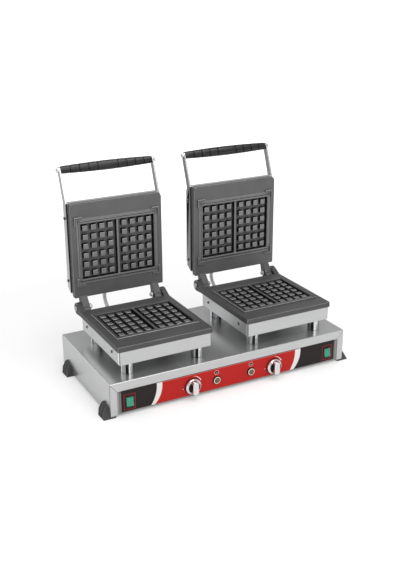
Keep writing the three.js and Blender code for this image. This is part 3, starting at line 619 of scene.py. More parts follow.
@dataclass(frozen=True)
class PrintedSheet(Finish):
    """The control panel's print: red between two white crescents, black at the ends, plain marks at the controls;
    painted shadow round the dials and lamps and along the top, a painted highlight under it, and painted shaded steel
    at the ends.
    """

    height: float
    top: float
    end: float
    arc_height: float = 57 * MM
    left_arcs: tuple[Arc, Arc] = (Arc(-285.6 * MM, 79 * MM), Arc(-259.5 * MM, 67 * MM))
    right_arcs: tuple[Arc, Arc] = (Arc(92.4 * MM, 85 * MM), Arc(125 * MM, 68.5 * MM))
    dial: float = 113.5 * MM
    # Painted shadow: the radii of black discs under the dials and lamps, seen as rings round them.
    dial_ground: float = 21.4 * MM
    lamp_ground: float = 11.2 * MM
    scale_radius: float = 24.8 * MM
    scale_width: float = 2.6 * MM
    lamp: float = 48 * MM
    mark_rise: float = 19.5 * MM
    mark_radius: float = 5.6 * MM
    switch: float = 276 * MM
    frame_half: tuple[float, float] = (14 * MM, 19 * MM)
    line: float = 1.1 * MM
    blur: float = 0.25 * MM
    end_strip: float = 4.4 * MM
    dot: float = 1.3 * MM
    # Painted shade: the grey of the steel ends in the recess.
    sheet_grey: Colour = (0.20, 0.19, 0.185)
    red_part: tuple[float, float] = (-200 * MM, 190 * MM)
    red: Colour = (0.50, 0.017, 0.014)
    black: Colour = (0.022, 0.018, 0.017)
    white: Colour = (0.83, 0.82, 0.80)
    rose: Colour = (0.80, 0.42, 0.42)

    def left_of(self, x: Signal, z: Signal, arc: Arc) -> Signal:
        """A mask of what lies left of an arc that bulges to the right."""
        rise = z - self.arc_height
        return (x - arc.centre).below((arc.radius * arc.radius - rise * rise).maths("SQRT"), self.blur)

    def ring(self, x: Signal, z: Signal, radius: float, width: Signal | float) -> Signal:
        """A mask of a band of a width round the middle of x and z."""
        return (span(x, z) - radius).magnitude().below(width * 0.5, self.blur)

    def disc(self, x: Signal, z: Signal, radius: float) -> Signal:
        """A mask of a round about the middle of x and z."""
        return self.ring(x, z, 0.0, 2 * radius)

    def scale(self, x: Signal, up: Signal) -> Signal:
        """The white arc round each dial, thin at the top and thick at the right, with a dot where it is off.

        Args:
            x: the place along the panel.
            up: the height over the controls' middle.

        Returns:
            The mask.
        """
        masks = []
        for side in Side:
            across = x - side.value * self.dial
            share = across / self.scale_radius
            band = self.ring(across, up, self.scale_radius, share * self.scale_width)
            masks.append(band * share.above(0.1, 0.02) * up.above(self.scale_radius * 0.4, MM / 2))
            masks.append(self.disc(across + self.scale_radius, up + 3 * MM, MM))
        return masks[0].most(masks[1]).most(masks[2]).most(masks[3])

    def under_line(self, x: Signal, z: Signal) -> Signal:
        """Painted highlight: the pale line just under the dark top line, over the red part alone."""
        line = (z - (self.top - 1.9 * self.line)).magnitude().below(self.line * 0.45, self.blur)
        return line * x.above(self.red_part[0], MM) * x.below(self.red_part[1], MM) * 0.6

    def switch_frame(self, side: Signal, up: Signal) -> Signal:
        """The thin red line round each switch."""
        edge = ((side - self.switch).magnitude() - self.frame_half[0]).most(up.magnitude() - self.frame_half[1])
        return edge.magnitude().below(self.line * 0.5, self.blur)

    def draw(self, sheet: NodeSheet) -> Sockets:
        """The values: one colour laid over the other, from the ground to the marks.

        Args:
            sheet: where the nodes go.

        Returns:
            Values and signals by socket.
        """
        x, _, z = sheet.parts(sheet.place())
        up, side = z - self.height, x.magnitude()
        right = x.above(0.0, MM)
        outside, inside = (self.left_of(x, z, arc) for arc in self.left_arcs)
        before, after = ((1 - self.left_of(x, z, arc)) * right for arc in self.right_arcs)
        lamp, rise = side - self.lamp, up - self.mark_rise
        # Painted shadow round each dial and lamp.
        shadow_discs = self.disc(side - self.dial, up, self.dial_ground).most(self.disc(lamp, up, self.lamp_ground))
        # Painted shadow: a dark line along the top, under the flange, and at the ends.
        shadow_border = z.above(self.top - self.line, self.blur).most(side.above(self.end - 5 * self.line, self.blur))
        hole = self.disc(side - (self.end - self.end_strip / 2), z - (self.top - 2 * self.dot), self.dot)
        colour = self.red
        for mask, paint in (
            (inside, self.white),
            (outside, self.black),
            (before, self.white),
            (after, self.black),
            (shadow_discs, self.black),
            # Painted highlight on the sheet's top edge.
            (self.under_line(x, z), self.rose),
            (shadow_border, self.black),
            # Painted shade: steel grey ends.
            (side.above(self.end - self.end_strip, self.blur), self.sheet_grey),
            (hole, self.black),
            (self.scale(x, up), self.white),
            (self.ring(lamp, rise, self.mark_radius, self.line), self.rose),
            (self.disc(lamp, rise, self.mark_radius - self.line), self.black),
            (self.disc(lamp, rise + 0.8 * MM, 1.2 * MM), self.white),
            (self.switch_frame(side, up), self.red),
        ):
            colour = sheet.blend(mask, colour, paint)
        film = sheet.noise(sheet.place(), 700.0, 2.0)
        return {
            "Base Color": colour,
            "Roughness": film * 0.08 + 0.3,
            "Specular IOR Level": 0.16,
            "Normal": sheet.bump(film, 0.000012),
        }


@dataclass(frozen=True)
class LampPart(Finish):
    """What the two parts of an indicator lamp share: the lamp's place and bore."""

    across: float
    height: float
    bore: float = 6.9 * MM
    blur: float = 0.5 * MM

    def local(self, sheet: NodeSheet) -> tuple[Signal, Signal]:
        """The places across and up from the lamp's middle."""
        x, _, z = sheet.parts(sheet.place())
        return x.magnitude() - self.across, z - self.height


@dataclass(frozen=True)
class LampRing(LampPart):
    """A lamp's ring: a bright lip between a dark bore and a dark rim; the dark rim is painted shadow round the bezel.
    """

    rim: float = 8.9 * MM
    lip: Colour = (0.86, 0.80, 0.68)
    dark: Colour = (0.03, 0.022, 0.018)

    def draw(self, sheet: NodeSheet) -> Sockets:
        """The values, by the distance from the middle.

        Args:
            sheet: where the nodes go.

        Returns:
            Values and signals by socket.
        """
        away = span(*self.local(sheet))
        lit = away.above(self.bore, self.blur) * away.below(self.rim, self.blur)
        haze = sheet.noise(sheet.place(), 300.0, 2.0)
        # Dark at the bore, and painted shadow outside the rim.
        colour = sheet.blend(lit, self.dark, self.lip)
        return {"Base Color": colour, "Metallic": 0.85, "Roughness": haze * 0.1 + 0.12}


@dataclass(frozen=True)
class LampLens(LampPart):
    """A lamp's amber lens, crossed by two dark ribs."""

    bar: float = 0.9 * MM
    amber: Colour = (0.21, 0.115, 0.03)
    shade: Colour = (0.035, 0.018, 0.006)

    def draw(self, sheet: NodeSheet) -> Sockets:
        """The values, darker at the ribs and the edge.

        Args:
            sheet: where the nodes go.

        Returns:
            Values and signals by socket.
        """
        x, up = self.local(sheet)
        first, second = (line.magnitude().below(self.bar, self.blur) for line in (x + up, x - up))
        dark = first.most(second) * 0.75
        cloud = sheet.noise(sheet.place(), 500.0, 2.0)
        edge = span(x, up).above(self.bore - 1.6 * MM, MM)
        return {
            "Base Color": sheet.blend(dark.most(edge), self.amber, self.shade),
            "Roughness": cloud * 0.1 + 0.15,
            "Coat Weight": 0.5,
            "Coat Roughness": 0.08,
            "Normal": sheet.bump(dark, 0.0003),
        }


@dataclass(frozen=True)
class HeaterSheath(Finish):
    """An element's steel sheath, tinted straw and blue by heat."""

    def draw(self, sheet: NodeSheet) -> Sockets:
        """The values, tinted by a slow noise.

        Args:
            sheet: where the nodes go.

        Returns:
            Values and signals by socket.
        """
        heat = sheet.noise(sheet.place(), 18.0, 3.0)
        stops = [(0.35, (0.30, 0.22, 0.13)), (0.5, (0.33, 0.31, 0.30)), (0.65, (0.16, 0.18, 0.26))]
        tint = sheet.add("ShaderNodeValToRGB", {"stops": stops}, {0: heat})
        return {"Base Color": tint, "Metallic": 0.9, "Roughness": heat * 0.3 + 0.3}


def made(finish: Finish) -> Material:
    """A field that holds a finish's material."""
    return field(default_factory=finish.build)


@dataclass
class Finishes:
    """Every material that more than one piece may wear, built once."""

    steel: Material = made(BrushedSteel("steel_along_x"))
    # Darker and rougher than the sheet steel: the darkness is painted shade of the recessed front panel.
    dull: Material = made(BrushedSteel("steel_dull", Grain.ALONG_Z, (0.36, 0.35, 0.34), 0.5))
    # Lighter than the sheet steel: painted highlight on the covers.
    cover: Material = made(BrushedSteel("cover_steel", Grain.ALONG_X, (0.66, 0.663, 0.666), 0.34, 0.8))
    # Bar and tube carry painted reflections: dark streaks on their faces.
    bar: Material = made(Polished("polished_bar", (0.80, 0.805, 0.81), 0.22, "drawn"))
    tube: Material = made(Polished("polished_tube", (0.80, 0.805, 0.81), 0.12, "drawn"))
    chrome: Material = made(Polished("chrome", (0.86, 0.865, 0.875), 0.06))
    zinc: Material = made(Polished("zinc_screw", (0.50, 0.50, 0.51), 0.24))
    screw: Material = made(Polished("dark_screw", (0.12, 0.12, 0.122), 0.3))
    # A dark disc on each dial: painted reflection in the chrome.
    field_metal: Material = made(Polished("dark_field", (0.02, 0.02, 0.021), 0.16))
    hose: Material = made(Polished("hose_metal", (0.70, 0.70, 0.70), 0.28))
    iron: Material = made(CastIron())
    # A lighter skin than the lower castings: painted sheen on the lids.
    lid_iron: Material = made(CastIron(
        "cast_iron_lid", (0.108, 0.108, 0.109), (0.004, 0.004, 0.004),
        run=Axis.Z, rim_middle=306.8 * MM, line_depths=(0.6, 1.0),
    ))
    bakelite: Material = made(Moulded("bakelite", (0.010, 0.010, 0.0105), 0.24, 500.0, 0.00003))
    black: Material = made(Moulded("black_plastic", (0.020, 0.020, 0.021), 0.34, 1200.0, 0.00001))
    rubber: Material = made(Moulded("rubber", (0.050, 0.050, 0.052), 0.55, 1500.0, 0.00008))
    green: Material = made(Moulded("green_rocker", (0.022, 0.27, 0.172), 0.24, 300.0, 0.00001, 0.5, 0.08, 0.35))
    fittings: Material = made(Moulded("plain_fittings", (0.42, 0.42, 0.41), 0.45, 700.0, 0.00003))
    sheath: Material = made(HeaterSheath("heater_sheath"))


# Hand tools


def only(piece: Piece) -> None:
    """Make one object the active one and the only one selected."""
    bpy.ops.object.select_all(action="DESELECT")
    piece.select_set(True)
    bpy.context.view_layer.objects.active = piece


@contextmanager
def editing(piece: Piece, mode: str = "FACE") -> Iterator[None]:
    """Hold an object in edit mode, with nothing selected at first.

    Args:
        piece: the mesh object.
        mode: what is selected: VERT, EDGE or FACE.

    Yields:
        Nothing; the object is in edit mode meanwhile.
    """
    only(piece)
    bpy.ops.object.mode_set(mode="EDIT")
    bpy.ops.mesh.select_mode(type=mode)
    bpy.ops.mesh.select_all(action="DESELECT")
    yield
    bpy.ops.object.mode_set(mode="OBJECT")


def pick_faces(piece: Piece, test: Callable[[Vector, Vector], bool]) -> None:
    """Select the faces, in edit mode, whose middle and normal pass a test.

    Args:
        piece: the object in edit mode.
        test: takes a face's middle and its normal.
    """
    mesh = bmesh.from_edit_mesh(piece.data)
    for face in [face for face in mesh.faces if test(face.calc_center_median(), face.normal)]:
        face.select_set(True)
    bmesh.update_edit_mesh(piece.data)


def bevel_edges(piece: Piece, test: Callable[[Vector, Vector], bool], width: float, segments: int) -> None:
    """Round the sharp edges whose two ends pass a test.

    Args:
        piece: the mesh object.
        test: takes an edge's two ends.
        width: the rounding's width.
        segments: how many faces it has.
    """
    with editing(piece, "EDGE"):
        mesh = bmesh.from_edit_mesh(piece.data)
        sharp = [edge for edge in mesh.edges if edge.is_manifold and edge.calc_face_angle(0.0) > SHARP]
        for edge in [edge for edge in sharp if test(edge.verts[0].co, edge.verts[1].co)]:
            edge.select_set(True)
        bmesh.update_edit_mesh(piece.data)
        bpy.ops.mesh.bevel(offset=width, segments=segments, affect="EDGES", clamp_overlap=False)


def cut_faces(piece: Piece, point: Sequence[float], normal: Sequence[float]) -> None:
    """Cut every face of a piece along a plane, given by a point and its normal."""
    with editing(piece):
        bpy.ops.mesh.select_all(action="SELECT")
        bpy.ops.mesh.bisect(plane_co=point, plane_no=normal)


def apply_modifiers(piece: Piece) -> None:
    """Apply every modifier of an object, in order."""
    only(piece)
    for modifier in list(piece.modifiers):
        bpy.ops.object.modifier_apply(modifier=modifier.name)


def shade(piece: Piece, angle: float = 40.0) -> None:
    """Shade smooth up to an angle in degrees, with normals weighted by the faces' size.

    Args:
        piece: the mesh object.
        angle: the largest smooth angle.
    """
    only(piece)
    bpy.ops.object.shade_smooth_by_angle(angle=math.radians(angle))
    weighted = piece.modifiers.new("weighted", "WEIGHTED_NORMAL")
    weighted.keep_sharp = True
    weighted.weight = 80
    apply_modifiers(piece)


def add_bevel(piece: Piece, width: float, segments: int, angle: float) -> bpy.types.BevelModifier:
    """Add a modifier that rounds every edge sharper than an angle.

    Args:
        piece: the mesh object.
        width: the rounding's width.
        segments: how many faces it has.
        angle: the smallest angle that is rounded, in degrees.

    Returns:
        The modifier.
    """
    bevel = piece.modifiers.new("bevel", "BEVEL")
    bevel.width = width
    bevel.segments = segments
    bevel.limit_method = "ANGLE"
    bevel.angle_limit = math.radians(angle)
    bevel.use_clamp_overlap = False
    return bevel


def soften(piece: Piece, width: float, segments: int = 2, angle: float = 26.0) -> None:
    """Round a piece's sharp edges, with round corners; the values are those of add_bevel."""
    add_bevel(piece, width, segments, angle).miter_outer = "MITER_ARC"
    apply_modifiers(piece)


def refined(node: str, name: str, nodes: dict[str, Piece]) -> Piece:
    """Copy a node of the frame as one clean mesh of large flat faces.

    Args:
        node: the node's name.
        name: the new piece's name.
        nodes: the frame's nodes.

    Returns:
        The new object, at the origin.
    """
    piece = bpy.data.objects.new(name, nodes[node].data.copy())
    bpy.context.scene.collection.objects.link(piece)
    piece.data.materials.clear()
    with editing(piece, "VERT"):
        bpy.ops.mesh.select_all(action="SELECT")
        bpy.ops.mesh.remove_doubles(threshold=WELD)
        bpy.ops.mesh.dissolve_limited(angle_limit=COPLANAR)
    return piece


def nudge(piece: Piece, corner: Vector, target: Vector) -> None:
    """Move the vertex at a corner to another place.

    Args:
        piece: the mesh object.
        corner: where the vertex is.
        target: where it goes.
    """
    with editing(piece, "VERT"):
        mesh = bmesh.from_edit_mesh(piece.data)
        nearest = min(mesh.verts, key=lambda vertex: (vertex.co - corner).length)
        nearest.select_set(True)
        bmesh.update_edit_mesh(piece.data)
        bpy.ops.transform.translate(value=target - nearest.co)


def settled(name: str) -> Piece:
    """Name the new primitive and put its place, turn and size into its mesh.

    Args:
        name: the piece's name.

    Returns:
        The piece.
    """
    piece = bpy.context.active_object
    piece.name = name
    only(piece)
    bpy.ops.object.transform_apply(location=True, rotation=True, scale=True)
    return piece


def copied(piece: Piece, name: str, place: Matrix) -> Piece:
    """Copy an object with a mesh of its own, moved into place.

    Args:
        piece: the model to copy.
        name: the copy's name.
        place: where it goes.

    Returns:
        The copy, settled.
    """
    twin = bpy.data.objects.new(name, piece.data.copy())
    bpy.context.scene.collection.objects.link(twin)
    twin.data.transform(place)
    if place.determinant() < 0:
        twin.data.flip_normals()
    return twin


def block(name: str, low: Sequence[float], high: Sequence[float]) -> Piece:
    """Start a piece as a box between two corners.

    Args:
        name: the piece's name.
        low: its lowest corner.
        high: its highest corner.

    Returns:
        The new object, settled.
    """
    low, high = Vector(low), Vector(high)
    bpy.ops.object.select_all(action="DESELECT")
    bpy.ops.mesh.primitive_cube_add(size=1.0, location=(low + high) / 2, scale=high - low)
    return settled(name)


def drum(name: str, middle: Sequence[float], radius: float, depth: float, axis: Axis, sides: int) -> Piece:
    """Start a piece as a cylinder or, with few sides, a prism.

    Args:
        name: the piece's name.
        middle: its middle.
        radius: its radius over the corners.
        depth: its length along the axis.
        axis: the way it lies.
        sides: how many sides it has.

    Returns:
        The new object, settled.
    """
    turn = {Axis.X: (0.0, math.pi / 2, 0.0), Axis.Y: (math.pi / 2, 0.0, 0.0), Axis.Z: (0.0, 0.0, 0.0)}[axis]
    bpy.ops.object.select_all(action="DESELECT")
    bpy.ops.mesh.primitive_cylinder_add(vertices=sides, radius=radius, depth=depth, location=middle, rotation=turn)
    return settled(name)


def spun(
    name: str, profile: Profile, axis: Axis, centre: Vector = ORIGIN, steps: int = 48, smooth: float = 0.0
) -> Piece:
    """Draw a profile point by point and spin it about an axis.

    Args:
        name: the piece's name.
        profile: pairs of radius and place along the axis, from the centre, in metres.
        axis: what it turns about.
        centre: where radius and place are zero.
        steps: how many faces go round.
        smooth: the largest smooth angle in degrees; nothing is shaded at zero.

    Returns:
        The new object, settled, with its faces pointing out.
    """
    forward, outward = Vector(ORIGIN), Vector(ORIGIN)
    forward[axis.value] = 1.0
    outward[(axis.value + 1) % 3] = 1.0
    points = [centre + outward * radius + forward * place for radius, place in profile]
    bpy.ops.object.select_all(action="DESELECT")
    bpy.ops.mesh.primitive_plane_add(size=MM, location=points[0])
    piece = settled(name)
    with editing(piece, "VERT"):
        bpy.ops.mesh.select_all(action="SELECT")
        bpy.ops.mesh.merge(type="CENTER")
        for before, after in zip(points, points[1:]):
            bpy.ops.mesh.extrude_vertices_move(TRANSFORM_OT_translate={"value": after - before})
        bpy.ops.mesh.select_all(action="SELECT")
        bpy.ops.mesh.spin(steps=steps, angle=2 * math.pi, center=centre, axis=forward)
        bpy.ops.mesh.select_all(action="SELECT")
        bpy.ops.mesh.remove_doubles(threshold=TINY)
        bpy.ops.mesh.normals_make_consistent(inside=False)
    if smooth:
        shade(piece, smooth)
    return piece


def combine(piece: Piece, tool: Piece, operation: str = "DIFFERENCE") -> None:
    """Cut a tool out of a piece or join it on, and remove the tool.

    Args:
        piece: the object that stays.
        tool: the object that is used up.
        operation: DIFFERENCE or UNION.
    """
    boolean = piece.modifiers.new("combine", "BOOLEAN")
    boolean.operation = operation
    boolean.object = tool
    boolean.solver = "EXACT"
    apply_modifiers(piece)
    bpy.data.objects.remove(tool)


def in_mm(*pairs: tuple[float, float]) -> Profile:
    """Pairs of millimetres as pairs of metres."""
    return [(first * MM, second * MM) for first, second in pairs]


def shifted(offset: Sequence[float]) -> Matrix:
    """A matrix that moves by an offset."""
    return Matrix.Translation(Vector(offset))


def middle_of(node: str) -> Vector:
    """The middle of a node's box."""
    low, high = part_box(node)
    return (low + high) / 2


@dataclass(frozen=True)
class CastingSkin:
    """How a casting's edges are rounded, and which of its faces are lightened by wear and painted highlight, and
    which darkened by sooty wells and painted shade.
    """

    outward: Vector
    along: Vector
    face: float
    middle: Vector
    top_wear: float
    floor_soot: float
    well_half: tuple[float, float] = (106 * MM, 82 * MM)
    width: float = 0.9 * MM
    segments: int = 2
    angle: float = 27.0
    raised: float = 0.5 * MM
    proud: float = 4.6 * MM
    flank_soot: float = 0.75
    border_wear: float = 0.4
    front_soot: float = 1.0
    side_soot: float = 0.0
    hinge_way: float = 1.0
    hinge_from: float = 121 * MM
    hinge_soot: float = 0.55

    def worn(self, face: bmesh.types.BMFace, height: float, facing: float) -> float:
        """How much of a face is made lighter, as wear and painted highlight.

        Args:
            face: the face.
            height: its height over the plate's own face.
            facing: how squarely it looks outwards.

        Returns:
            The share, from zero to one.
        """
        # Rounded convex edges: wear and painted highlight, full on raised parts.
        if face.material_index == 1 and all(edge.is_convex for edge in face.edges):
            return 1.0 if height > self.raised else self.border_wear
        # Raised tops that face out: wear and painted highlight.
        return self.top_wear if self.raised < height < self.proud and facing > 0.9 else 0.0

    def baked(self, face: bmesh.types.BMFace, height: float, facing: float) -> float:
        """How much of a face is made darker: sooty wells, painted shade on walls, flanks and sides, and darker hinge
        ears; the values are those of the share of wear above.

        Args:
            face: the face.
            height: its height over the plate's own face.
            facing: how squarely it looks outwards.

        Returns:
            The share, from zero to one.
        """
        away = face.calc_center_median() - self.middle
        run = away.dot(self.along)
        in_wells = abs(away.x) < self.well_half[0] and abs(run) < self.well_half[1]
        # Painted shade on the walls in the wells, less where they face the front.
        if in_wells and facing < 0.8:
            return self.front_soot if face.normal.y < -0.7 else 1.0
        # Sooty well floors, with painted shade.
        if in_wells and height < -self.raised:
            return self.floor_soot
        # The hinge ears and lugs are darkened.
        if run * self.hinge_way > self.hinge_from:
            return self.hinge_soot
        # Painted shade on the rim's flanks.
        if 0.0 < height < self.proud and facing < 0.6:
            return self.flank_soot
        # Painted shade on the side faces.
        return self.side_soot if abs(face.normal.x) > 0.9 else 0.0

    def apply(self, piece: Piece) -> None:
        """Round the edges and store on the faces how much each is lightened by wear and painted highlight, and
        darkened by sooty wells and painted shade.

        Args:
            piece: the casting.
        """
        for _ in range(2):
            piece.data.materials.append(None)
        add_bevel(piece, self.width, self.segments, self.angle).material = 1
        apply_modifiers(piece)
        mesh = bmesh.new()
        mesh.from_mesh(piece.data)
        mesh.normal_update()
        wear, soot = (mesh.faces.layers.float.new(name) for name in (CastIron.wear_layer, CastIron.soot_layer))
        for face in mesh.faces:
            height = face.calc_center_median().dot(self.outward) - self.face
            facing = face.normal.dot(self.outward)
            face[wear] = self.worn(face, height, facing)
            face[soot] = self.baked(face, height, facing)
            face.material_index = 0
        mesh.to_mesh(piece.data)
        mesh.free()
        piece.data.materials.clear()


@dataclass
class Workshop:
    """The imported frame, the finishes, and the steps that end the making of every piece."""

    frame: dict
    finishes: Finishes
    bodies: dict[str, str] = field(default_factory=dict)

    def __post_init__(self) -> None:
        """Note which body carries each node."""
        for body, members in self.frame["record"]["behaviour"]["bodies"].items():
            self.bodies.update(dict.fromkeys(members, body))

    @property
    def nodes(self) -> dict[str, Piece]:
        """The frame's nodes by name."""
        return self.frame["nodes"]

    def slot_of(self, node: str) -> str:
        """The record's material slot of a node."""
        parts = self.frame["record"]["subparts"]
        return next(part["material_slot"] for part in parts if part["node"] == node)

    def finish(self, piece: Piece, material: Material, node: str) -> None:
        """Dress a finished piece and let it stand for a node.

        Args:
            piece: the mesh object, in place.
            material: its material.
            node: the node that it replaces and rides with.
        """
        piece.data.materials.clear()
        piece.data.materials.append(material)
        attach(piece, self.bodies[node])
        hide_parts(node)
        log.info("%s: %d faces, for %s", piece.name, len(piece.data.polygons), node)

    def paint(self, node: str, material: Material) -> None:
        """Give a node that stays its own material.

        Args:
            node: the node's name.
            material: its material.
        """
        data = self.nodes[node].data
        data.materials.clear()
        data.materials.append(material)
        log.info("%s: painted %s", node, material.name)

    def softened(self, node: str, name: str, edge: float, material: Material, segments: int = 2) -> None:
        """Let a copy of a node with rounded edges stand for it.

        Args:
            node: the node.
            name: the copy's name.
            edge: the rounding's width.
            material: the copy's material.
            segments: how many faces the rounding has.
        """
        piece = refined(node, name, self.nodes)
        soften(piece, edge, segments)
        shade(piece)
        self.finish(piece, material, node)

    def stamp(self, model: Piece, name: str, place: Matrix, material: Material, node: str) -> None:
        """Copy a model into place and finish the copy.

        Args:
            model: the model, which stays as it is.
            name: the copy's name.
            place: where it goes.
            material: its material.
            node: the node that it stands for.
        """
        self.finish(copied(model, name, place), material, node)

    def stamp_pair(self, node: str, *rows: tuple[Piece, str, Material]) -> None:
        """Copy models of the left side to both sides, finish the copies and remove the models.

        Args:
            node: the node that they stand for, without its side's word.
            rows: each model, its copies' name without the side's word, and their material.
        """
        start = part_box(f"left_{node}")[0]
        for side in Side:
            place = shifted(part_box(f"{side.label}_{node}")[0] - start)
            for model, name, material in rows:
                self.stamp(model, f"{side.label}_{name}", place, material, f"{side.label}_{node}")
        self.retire(*(model for model, _, _ in rows))

    @staticmethod
    def retire(*models: Piece) -> None:
        """Remove models after their copies are made."""
        for model in models:
            bpy.data.objects.remove(model)


# Sub-assemblies


@dataclass
class Cabinet:
    """The base box: shell, printed panel, corner feet and cable gland."""

    shop: Workshop
    bend: float = 1.7 * MM
    bend_reach: float = 2.2 * MM
    opening_edge: float = 0.35 * MM
    frame_side: float = 18 * MM
    frame_top: float = 22 * MM
    foot_gap: float = 0.1 * MM
    foot_waist: float = 16 * MM
    foot_corners: tuple[tuple[Point, ...], ...] = (
        ((0.0, 0.0, 0.0), (16.9, 0.0, 0.0), (0.0, 37.5, 0.0), (17.9, 33.0, 0.0)),
        ((0.0, 7.0, 16.0), (10.2, 7.5, 16.0), (0.0, 38.0, 16.0), (14.2, 37.8, 16.0)),
        ((0.0, 12.0, 26.0), (3.9, 13.0, 26.5), (0.0, 38.0, 31.0), (5.0, 38.0, 30.5)),
    )
    foot_ribs: tuple[float, float] = (10.5 * MM, 19.5 * MM)
    foot_lean: float = 0.3
    foot_inset: float = 1.5 * MM
    foot_recess: float = 1.6 * MM
    foot_recess_wall: float = 0.3 * MM
    foot_pad: float = 4.9 * MM
    foot_edge: float = 0.5 * MM
    gland_edge: float = 0.7 * MM

    def build(self) -> None:
        """Make and dress every piece of the base but its controls."""
        self.shell()
        self.panel()
        self.feet()
        self.shop.softened("cable_gland", "gland_moulding", self.gland_edge, self.shop.finishes.black)

    def shell(self) -> None:
        """The folded box, with rounded folds along its top."""
        low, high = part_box("base_shell")
        shell = refined("base_shell", "cabinet_shell", self.shop.nodes)

        def on_outline(point: Vector) -> bool:
            """Whether a point of the top lies on its outer edge."""
            across = abs(point.x) > high.x - self.bend_reach
            along = point.y < low.y + self.bend_reach or point.y > high.y - self.bend_reach
            return point.z > high.z - TINY and (across or along)

        def on_opening(point: Vector) -> bool:
            """Whether a point lies on the front opening's outer edge."""
            inside = abs(point.x) < high.x - self.frame_side + TINY
            return point.y < low.y + TINY and inside and point.z < high.z - self.frame_top + TINY

        bevel_edges(shell, lambda a, b: on_outline(a) and on_outline(b), self.bend, 4)
        bevel_edges(shell, lambda a, b: on_opening(a) and on_opening(b), self.opening_edge, 2)
        shade(shell)
        steel = CabinetSteel(
            "cabinet_steel", low=low, high=high, frame_side=self.frame_side, frame_top=self.frame_top
        )
        self.shop.finish(shell, steel.build(), "base_shell")

    def panel(self) -> None:
        """The print on the panel, and the parts that stay as they are."""
        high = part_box("control_label")[1]
        finishes = self.shop.finishes
        height = middle_of("left_switch_housing").z
        self.shop.paint("control_label", PrintedSheet("printed_sheet", height, high.z, high.x).build())
        # The front panel's darker steel is painted shade.
        self.shop.paint("front_panel", finishes.dull)
        self.shop.paint("bottom_cover", finishes.steel)
        self.shop.paint("terminal_block", finishes.fittings)

    def feet(self) -> None:
        """Four moulded corner feet from one model."""
        model = self.foot()
        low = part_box("right_front_foot")[0]
        for side in Side:
            for row in ("front", "rear"):
                node = f"{side.label}_{row}_foot"
                mirror = Matrix.Diagonal((side.value, 1.0, 1.0, 1.0))
                place = shifted((0.0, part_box(node)[0].y - low.y, 0.0)) @ mirror
                self.shop.stamp(model, f"{node}_moulding", place, self.shop.finishes.rubber, node)
        self.shop.retire(model)

    def foot(self) -> Piece:
        """The right front foot: a wedge that leans on the wall, with slots in its outer face, on a tucked pad.

        Returns:
            The model.
        """
        low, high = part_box("right_front_foot")
        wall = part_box("base_shell")[1].x + self.foot_gap
        start = Vector((wall, low.y, low.z))
        waist = low.z + self.foot_waist
        foot = block("foot_model", start, high)
        cut_faces(foot, (0.0, 0.0, waist), UP)
        ends = ((wall, low.y), (high.x, low.y), (wall, high.y), (high.x, high.y))
        for level, corners in zip((low.z, waist, high.z), self.foot_corners):
            for (x, y), corner in zip(ends, corners):
                nudge(foot, Vector((x, y, level)), start + Vector(corner) * MM)
        for share in self.foot_ribs:
            cut_faces(foot, (wall, low.y + share, low.z), (0.0, 1.0, -self.foot_lean))
        for first, last in zip(self.foot_ribs, (*self.foot_ribs[1:], high.y - low.y)):

            def in_column(middle: Vector, normal: Vector) -> bool:
                """Whether a face is the outer one between two ribs."""
                run = middle.y - low.y - self.foot_lean * (middle.z - low.z)
                return normal.x > 0.5 and first < run < last

            with editing(foot):
                pick_faces(foot, in_column)
                bpy.ops.mesh.inset(thickness=self.foot_inset, depth=0.0)
                bpy.ops.mesh.inset(thickness=self.foot_recess_wall, depth=-self.foot_recess)
        combine(foot, block("pad_tool", low, (wall + MM, high.y, low.z + self.foot_pad)), "UNION")
        soften(foot, self.foot_edge, 2, 34.0)
        shade(foot)
        return foot


